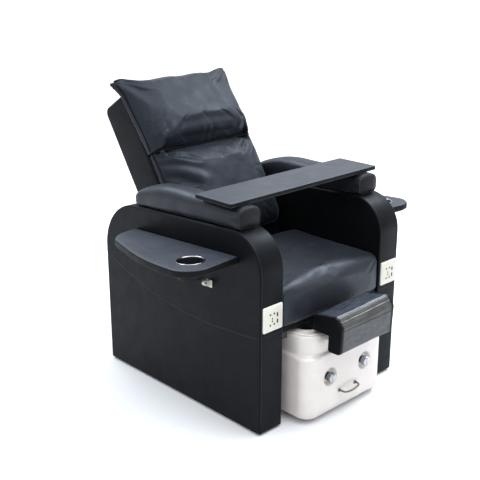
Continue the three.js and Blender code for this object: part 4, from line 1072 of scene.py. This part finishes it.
def shape_pillow(p):
    x, n, u = to_back(p)
    out = SHELL_N - n
    face = smooth01((out - 0.012) / 0.04)
    t = (u - CREASE_U) / (PILLOW_U1 - CREASE_U)
    d = 0.004 * wobble(x, u, 0, 7.0, 3.0) + 0.0012 * wobble(x, u, 0, 22.0, 6.0)
    # Gathers run up from the crease, and pull lines down from the top seam and the ears.
    low = math.exp(-((t - 0.02) / 0.14) ** 2)
    d += low * 0.0016 * math.sin(x * 130 + 2.1 * math.sin(x * 37)) * smooth01((x + 0.10) / 0.08)
    for x0, depth in ((-0.190, 0.0035), (0.196, 0.0045)):
        x1 = x0 + (0.020 if x0 < 0 else -0.022)
        d += fold(x, u, x0, CREASE_U + 0.004, x1, CREASE_U + 0.085, 0.009, depth)
    d += fold(x, u, -0.245, 1.325, -0.165, 1.235, 0.016, 0.0040)
    d += fold(x, u, 0.245, 1.325, 0.165, 1.240, 0.016, 0.0040)
    high = math.exp(-((t - 1.0) / 0.10) ** 2)
    d += high * 0.0012 * math.sin(x * 115 + 1.4 * math.sin(x * 51))
    n -= d * face
    # The top edge sags a little between its upturned corners.
    ear = smooth01((abs(x) - 0.175) / 0.075)
    lift = (0.003 if x > 0 else 0.011) * ear
    u -= smooth01((t - 0.55) / 0.45) * (0.007 * (1 - ear) - lift + 0.0018 * math.sin(x * 43 + 0.8))
    n += 0.011 * ear * smooth01((t - 0.78) / 0.22)
    behind = 0.012 * smooth01((u - SHELL_U1 - 0.004) / 0.015)
    return back_point(x, min(n, SHELL_N - 0.0004 + behind), u)


shape_points(lower_pad, shape_lower)
shape_points(pillow_pad, shape_pillow)


def crease_gusset():
    """Leather strip sewn in between the pads, that closes the crease at its ends; it is drawn in the darkest welt
    leather, which paints the shade at the bottom of the crease.
    """
    shape = rectangle(-0.2270, CREASE_U - 0.011, 0.2270, CREASE_U + 0.011, 0.006, 3)
    levels = edge_levels(-SHELL_N + 0.001, -SHELL_N + 0.052, 0.003, 3, 0.002)
    verts, faces = ring_faces(slab_rings(dense(shape, 0.02), levels, lambda a, b, h: back_point(a, -h, b)))
    new_object("crease_gusset", verts, faces, WELT_AND_CREASE_SHADE, "backrest", "leather")


crease_gusset()


def back_seams():
    """Welts round the two back pads, where their front sheet meets the boxing."""
    top = [back_point(x, SHELL_N - 0.016, PILLOW_U1 + 0.010) for x in spread(-0.272, 0.272, 80)]
    top = snapped(top, pillow_pad, 0.0012)
    piping("pillow_top_welt", [top], 0.0034, "backrest", material=WELT_AND_CREASE_SHADE)
    runs = []
    for sign in (-1, 1):
        for depth in (0.026, 0.034):
            n = SHELL_N - depth
            upper = [back_point(sign * 0.275, n, u) for u in spread(CREASE_U + 0.004, PILLOW_U1 - 0.008, 30)]
            lower = [back_point(sign * 0.250, n, u) for u in spread(CUSHION_U0 + 0.03, CREASE_U - 0.002, 30)]
            runs += [snapped(upper, pillow_pad), snapped(lower, lower_pad)]
    piping("back_side_welts", runs, 0.0012, "backrest", material=WELT_AND_CREASE_SHADE)


back_seams()


# ---------- Rear cover ----------
def rear_cover():
    points = dense(rectangle(-0.2455, 0.030, 0.2455, 0.455, 0.004, 4), 0.02)
    place = lambda a, b, h: (a, h, b)
    verts, faces = ring_faces(slab_rings(points, edge_levels(0.7952, 0.809, 0.003, 4, 0.0008), place))
    new_object("rear_cover_visual", verts, faces, PANEL_LEATHER, "chair", "panel_leather", ["rear_cover"])
    inner = rectangle(-0.2355, 0.040, 0.2355, 0.445, 0.004, 4)
    seam = [(p.x, 0.8088, p.y) for p in dense(inner, 0.02)]
    piping("rear_cover_seam", [seam], 0.0008, "chair", "panel_leather", closed=True, sides=6)


rear_cover()


# ---------- Foot tub ----------
def tub_points(step, softer):
    half = TUB_HALF - step
    radius = max(TUB_CORNER + softer - step, 0.020)
    shape = rectangle(-half, TUB_Y0 + step, half, TUB_Y1 - step, radius, 12)
    result = []
    for i, p in enumerate(shape):
        q = shape[(i + 1) % len(shape)]
        straight = (q - p).length > 0.03
        front = straight and abs(p.y - q.y) < 1e-6 and p.y < 0
        parts = 90 if front else (24 if straight else 1)
        result += [p.lerp(q, k / parts) for k in range(parts)]
    return result


def scoop(x, z):
    """Depth of the recesses round the two knobs."""
    r = math.hypot(abs(x) - KNOB_X, z - KNOB_Z)
    return 0.0172 * smooth01((0.0335 - r) / 0.0105)


def tub():
    foot = [(0.030, 0.0002), (0.022, 0.0006), (0.0140, 0.0030), (0.0075, 0.0080), (0.0030, 0.0145),
            (0.0008, 0.0230), (0, 0.0320)]
    levels = [(step, TUB_Z0 + h) for step, h in foot]
    z = TUB_Z0 + 0.0355
    while z < LEDGE - 0.012:
        levels.append((0, z))
        z += 0.0035
    levels += [(0, LEDGE - 0.010), (0.0004, LEDGE - 0.006), (0.0016, LEDGE - 0.0025), (0.0040, LEDGE - 0.0004),
               (0.0072, LEDGE + 0.0006),
               (0.0100, LEDGE + 0.0022), (0.0118, LEDGE + 0.0052), (0.0124, LEDGE + 0.010), (0.0126, 0.270),
               (0.0130, 0.290),
               (0.0136, 0.3040), (0.0148, 0.3090), (0.0170, 0.3122), (0.0196, 0.3135), (0.0290, 0.3137),
               (0.0310, 0.3120),
               (0.0310, 0.300)]
    rings = []
    for step, z in levels:
        ring = []
        for p in tub_points(step, 0.004 + 0.030 * smooth01((z - LEDGE + 0.012) / 0.016)):
            y = p.y
            if y < TUB_Y0 + 0.02 and abs(p.x) < 0.135 and z < LEDGE:
                y += scoop(p.x, z)
            ring.append((p.x, y, z))
        rings.append(ring)
    verts, faces = ring_faces(rings, True, False)
    new_object("tub_visual", verts, faces, ACRYLIC, "foot_tub", "tub_acrylic", ["tub_shell"])


def basin():
    """Inner bowl: a soft rim over the tub's edge, and walls that draw in to a rounded floor."""
    levels = [(0.0215, 0.3140), (0.0195, 0.3146), (0.0192, 0.3162), (0.0204, 0.3176), (0.0228, 0.3180),
              (0.0300, 0.3178),
              (0.0480, 0.3172), (0.0590, 0.3166), (0.0635, 0.3150), (0.0650, 0.3122), (0.0636, 0.3094),
              (0.0600, 0.3082),
              (0.0450, 0.3076), (0.0398, 0.3056), (0.0384, 0.3000), (0.0382, 0.2600), (0.0420, 0.2000),
              (0.0470, 0.1500),
              (0.0520, 0.1240), (0.0580, 0.1100), (0.0680, 0.1025), (0.0800, 0.1003), (0.0950, 0.1000)]
    rings = []
    for step, z in levels:
        radius = max(TUB_CORNER + 0.036 - step * 0.70, 0.030)
        half = TUB_HALF - step
        shape = rectangle(-half, TUB_Y0 + step, half, TUB_Y1 - step, radius, 12)
        rings.append([(p.x, p.y, z) for p in dense_sides(shape, 10)])
    verts, faces = ring_faces(rings, False, True)
    new_object("basin_visual", verts, faces, ACRYLIC, "foot_tub", "tub_acrylic", ["foot_basin"])


tub()
basin()


def turned_y(x, z, profile, steps, fluted=0.0):
    """A body turned about a line along y; profile is (radius, y)."""
    rings = []
    for r, y in profile:
        ring = []
        for a in turns(steps):
            s = r * (1 + fluted * math.cos(a * 16))
            ring.append((x + s * math.cos(a), y, z + s * math.sin(a)))
        rings.append(ring)
    return ring_faces(rings)


def knob(side):
    """Chromed valve knob: flared skirt, fluted rim and a raised thumb bar."""
    name = "left" if side < 0 else "right"
    x, z = side * KNOB_X, KNOB_Z
    skirt = [(0.0125, -0.0583), (0.0140, -0.0600), (0.0140, -0.0620), (0.0110, -0.0640), (0.0110, -0.0680),
             (0.0158, -0.0700),
             (0.0172, -0.0715), (0.0172, -0.0835), (0.0168, -0.0862), (0.0155, -0.0878), (0.0130, -0.0886),
             (0.0060, -0.0890)]
    parts = [turned_y(x, z, skirt, 96, 0.018)]
    bar = rectangle(-0.0048, -0.0142, 0.0048, 0.0142, 0.0042, 6)
    rings = []
    raised = ((-0.0012, 0.0), (-0.0003, 0.0012), (0.0, 0.0026), (0.0006, 0.0037), (0.0016, 0.0043),
              (0.0030, 0.0045))
    for step, h in raised:
        rings.append([(x + p.x, -0.0880 - h, z + p.y) for p in inset(bar, step)])
    parts.append(ring_faces(rings))
    verts, faces = joined_parts(parts)
    new_object(f"knob_visual_{name}", verts, faces, CHROME, f"knob_{name}", "chrome", [f"knob_{name}"])
    groove = [(0.01700, -0.0832), (0.01760, -0.0837), (0.01760, -0.0846), (0.01690, -0.0850),
              (0.01620, -0.0841)]
    base = [(0.0128, -0.0640), (0.0146, -0.0644), (0.0146, -0.0690), (0.0120, -0.0694), (0.0100, -0.0666)]
    rings = joined_parts([turned_y(x, z, groove + groove[:1], 48), turned_y(x, z, base + base[:1], 48)])
    new_object(f"knob_rings_{name}", *rings, RUBBER, f"knob_{name}", "chrome")


knob(-1)
knob(1)


def pull_handle():
    """Smile-shaped chromed bow handle with a collar at each end."""
    half, out, z = 0.042, -0.097, 0.088
    route = []
    for t in spread(-1, 1, 48):
        a = abs(t)
        x = math.copysign(half * min(1.0, a / 0.86) if a < 0.86 else half, t)
        y = out + (abs(out) - 0.0753) * smooth01((a - 0.74) / 0.26)
        drop = 0.0085 * (1 - min(1.0, a / 0.86) ** 2)
        route.append((x, y, z + 0.001 - drop))
    collar = [(0.0046, -0.0754), (0.0066, -0.0756), (0.0070, -0.0768), (0.0062, -0.0782), (0.0046, -0.0790)]
    parts = [tube(route, 0.0034, sides=14)] + [turned_y(sign * half, z, collar, 24) for sign in (-1, 1)]
    verts, faces = joined_parts(parts)
    new_object("handle_visual", verts, faces, NICKEL, "foot_tub", "chrome", ["pull_handle"])


pull_handle()


# ---------- Footrest ----------
REST_OUTLINE = outline([
    (-0.028, 0.327, 0.006), (-0.028, 0.382, 0.014), (-0.127, 0.400, 0.020), (-0.154, 0.369, 0.016),
    (-0.149, 0.272, 0.012), (-0.097, 0.272, 0.007), (-0.097, 0.327, 0.0),
], 8)


def right_rise(x):
    """The pad's upper faces stand higher towards its right end."""
    return 0.007 * smooth01((x + 0.10) / 0.24)


def footrest():
    points = dense(REST_OUTLINE, 0.006)
    norms = normals_of(points)
    half, edge = 0.1375, 0.003
    right = [(half - edge + edge * math.sin(a), edge * (1 - math.cos(a))) for a in spread(0, math.pi / 2, 6)]
    left = [(-x, d) for x, d in reversed(right)]
    middle = [(x, 0.0) for x in spread(edge - half, half - edge, 40)[1:-1]]
    rings = []
    for x, d in left + middle + right:
        ring = []
        for p, n in zip(points, norms):
            soft = 0.0012 * wobble(x, p.x, p.y, 24.0, 8.0) if p.x < -0.05 else 0.0
            q = p - n * (d + 0.0008 - soft)
            lift = smooth01((q.y - 0.340) / 0.05) * right_rise(x)
            ring.append((x, q.x, q.y + lift))
        rings.append(ring)
    for end in (0, -1):
        cap = [(x, y - n.x * 0.0012, z - n.y * 0.0012) for (x, y, z), n in zip(rings[end], norms)]
        rings.insert(0 if end == 0 else len(rings), cap)
    verts, faces = ring_faces(rings)

    def zone(p):
        c = p.center
        if abs(c.x) > 0.1245:
            return 0
        y = c.y - FRONT
        if c.z > 0.372 and y > -0.120:
            return 1
        if y < -0.110 and c.z > 0.352:
            return 2
        if y < -0.110:
            return 3
        return 0
    pad = new_object("footrest_visual", verts, faces, [PANEL_LEATHER, FILM_TOP, FILM_BAND, FILM_FRONT],
                     "footrest", "leather", ["footrest_pad"], face_material=zone)

    def line(y, z, amp, seed, reach=0.1265):
        run = []
        for x in spread(-reach, reach, 48):
            w = amp * wobble(x, 0, 0, 40.0, seed)
            run.append((x, y - 0.3 * w, z + w + (right_rise(x) if z > 0.38 else 0)))
        return snapped(run, pad, 0.0002)

    for tag, run, radius in (("top_edge", line(-0.1225, 0.3985, 0.0008, 1.0), 0.0011),
                             ("crease_line", line(-0.1415, 0.3845, 0.0016, 2.0), 0.0009)):
        piping(f"film_{tag}", [run], radius, "footrest", material=FILM_LINE, sides=6)
    piping("footrest_front_seam", [line(-0.1530, 0.3560, 0.0004, 3.0, 0.135)], 0.0011, "footrest")
    for sign, tag in ((-1, "left"), (1, "right")):
        ring = [(sign * 0.1252, p.x, p.y) for p in points if p.x < -0.03 or p.y > 0.36]
        start = max(range(len(ring)), key=lambda i: (Vector(ring[i]) - Vector(ring[i - 1])).length)
        piping(f"footrest_cap_seam_{tag}", [snapped(ring[start:] + ring[:start], pad)], 0.0010, "footrest")


footrest()


# ---------- Floor, light and camera ----------
def stage():
    half = 130.0
    mesh = bpy.data.meshes.new("floor")
    mesh.from_pydata([(-half, -half, 0), (half, -half, 0), (half, half, 0), (-half, half, 0)], [],
                     [(0, 1, 2, 3)])
    floor = bpy.data.objects.new("floor", mesh)
    m = Nodes("pale_floor")
    m.bsdf.inputs["Base Color"].default_value = (0.76, 0.76, 0.76, 1)
    m.bsdf.inputs["Roughness"].default_value = 0.9
    m.set(specular=0.05)
    mesh.materials.append(m.mat)
    bpy.context.scene.collection.objects.link(floor)

    world = bpy.data.worlds.new("studio")
    world.use_nodes = True
    tree = world.node_tree
    background = tree.nodes["Background"]
    background.inputs["Strength"].default_value = 1.0
    # A dome that brightens from the horizon to overhead.
    coords = tree.nodes.new("ShaderNodeTexCoord")
    split = tree.nodes.new("ShaderNodeSeparateXYZ")
    ramp = tree.nodes.new("ShaderNodeValToRGB")
    ramp.color_ramp.elements[0].position = 0.0
    ramp.color_ramp.elements[0].color = (0.40, 0.40, 0.41, 1)
    ramp.color_ramp.elements[1].position = 1.0
    ramp.color_ramp.elements[1].color = (2.20, 2.28, 2.40, 1)
    tree.links.new(coords.outputs["Generated"], split.inputs["Vector"])
    tree.links.new(split.outputs["Z"], ramp.inputs["Fac"])
    tree.links.new(ramp.outputs["Color"], background.inputs["Color"])
    bpy.context.scene.world = world

    def lamp(name, place, aim, size, power, colour):
        light = bpy.data.lights.new(name, "AREA")
        light.shape = "RECTANGLE"
        light.size, light.size_y = size
        light.energy = power
        light.color = colour
        obj = bpy.data.objects.new(name, light)
        obj.location = place
        obj.rotation_euler = (Vector(aim) - Vector(place)).to_track_quat("-Z", "Y").to_euler()
        bpy.context.scene.collection.objects.link(obj)

    lamp("front_overhead", (0.5, -1.1, 3.5), (0, 0, 0.5), (2.4, 1.8), 68, (0.88, 0.94, 1.0))
    lamp("right_overhead", (2.7, -0.2, 3.2), (0, 0, 0.5), (1.3, 1.3), 70, (0.82, 0.91, 1.0))
    lamp("rear_overhead", (-0.2, 2.6, 3.6), (0, 0.1, 0.7), (1.8, 1.2), 75, (0.82, 0.91, 1.0))


def camera():
    data = bpy.data.cameras.new("camera")
    data.lens, data.sensor_width = 65.27, 36.0
    data.clip_end = 200.0
    obj = bpy.data.objects.new("camera", data)
    azimuth, elevation = math.radians(-43.83), math.radians(18.68)
    back = Vector((math.sin(azimuth) * math.cos(elevation), -math.cos(azimuth) * math.cos(elevation),
                   math.sin(elevation)))
    obj.location = (-2.1186, FRONT - 1.7503, 1.5222)
    obj.rotation_euler = (-back).to_track_quat("-Z", "Y").to_euler()
    bpy.context.scene.collection.objects.link(obj)
    bpy.context.scene.camera = obj


stage()
camera()
bpy.context.scene.view_settings.view_transform = "Standard"

bpy.context.view_layer.update()
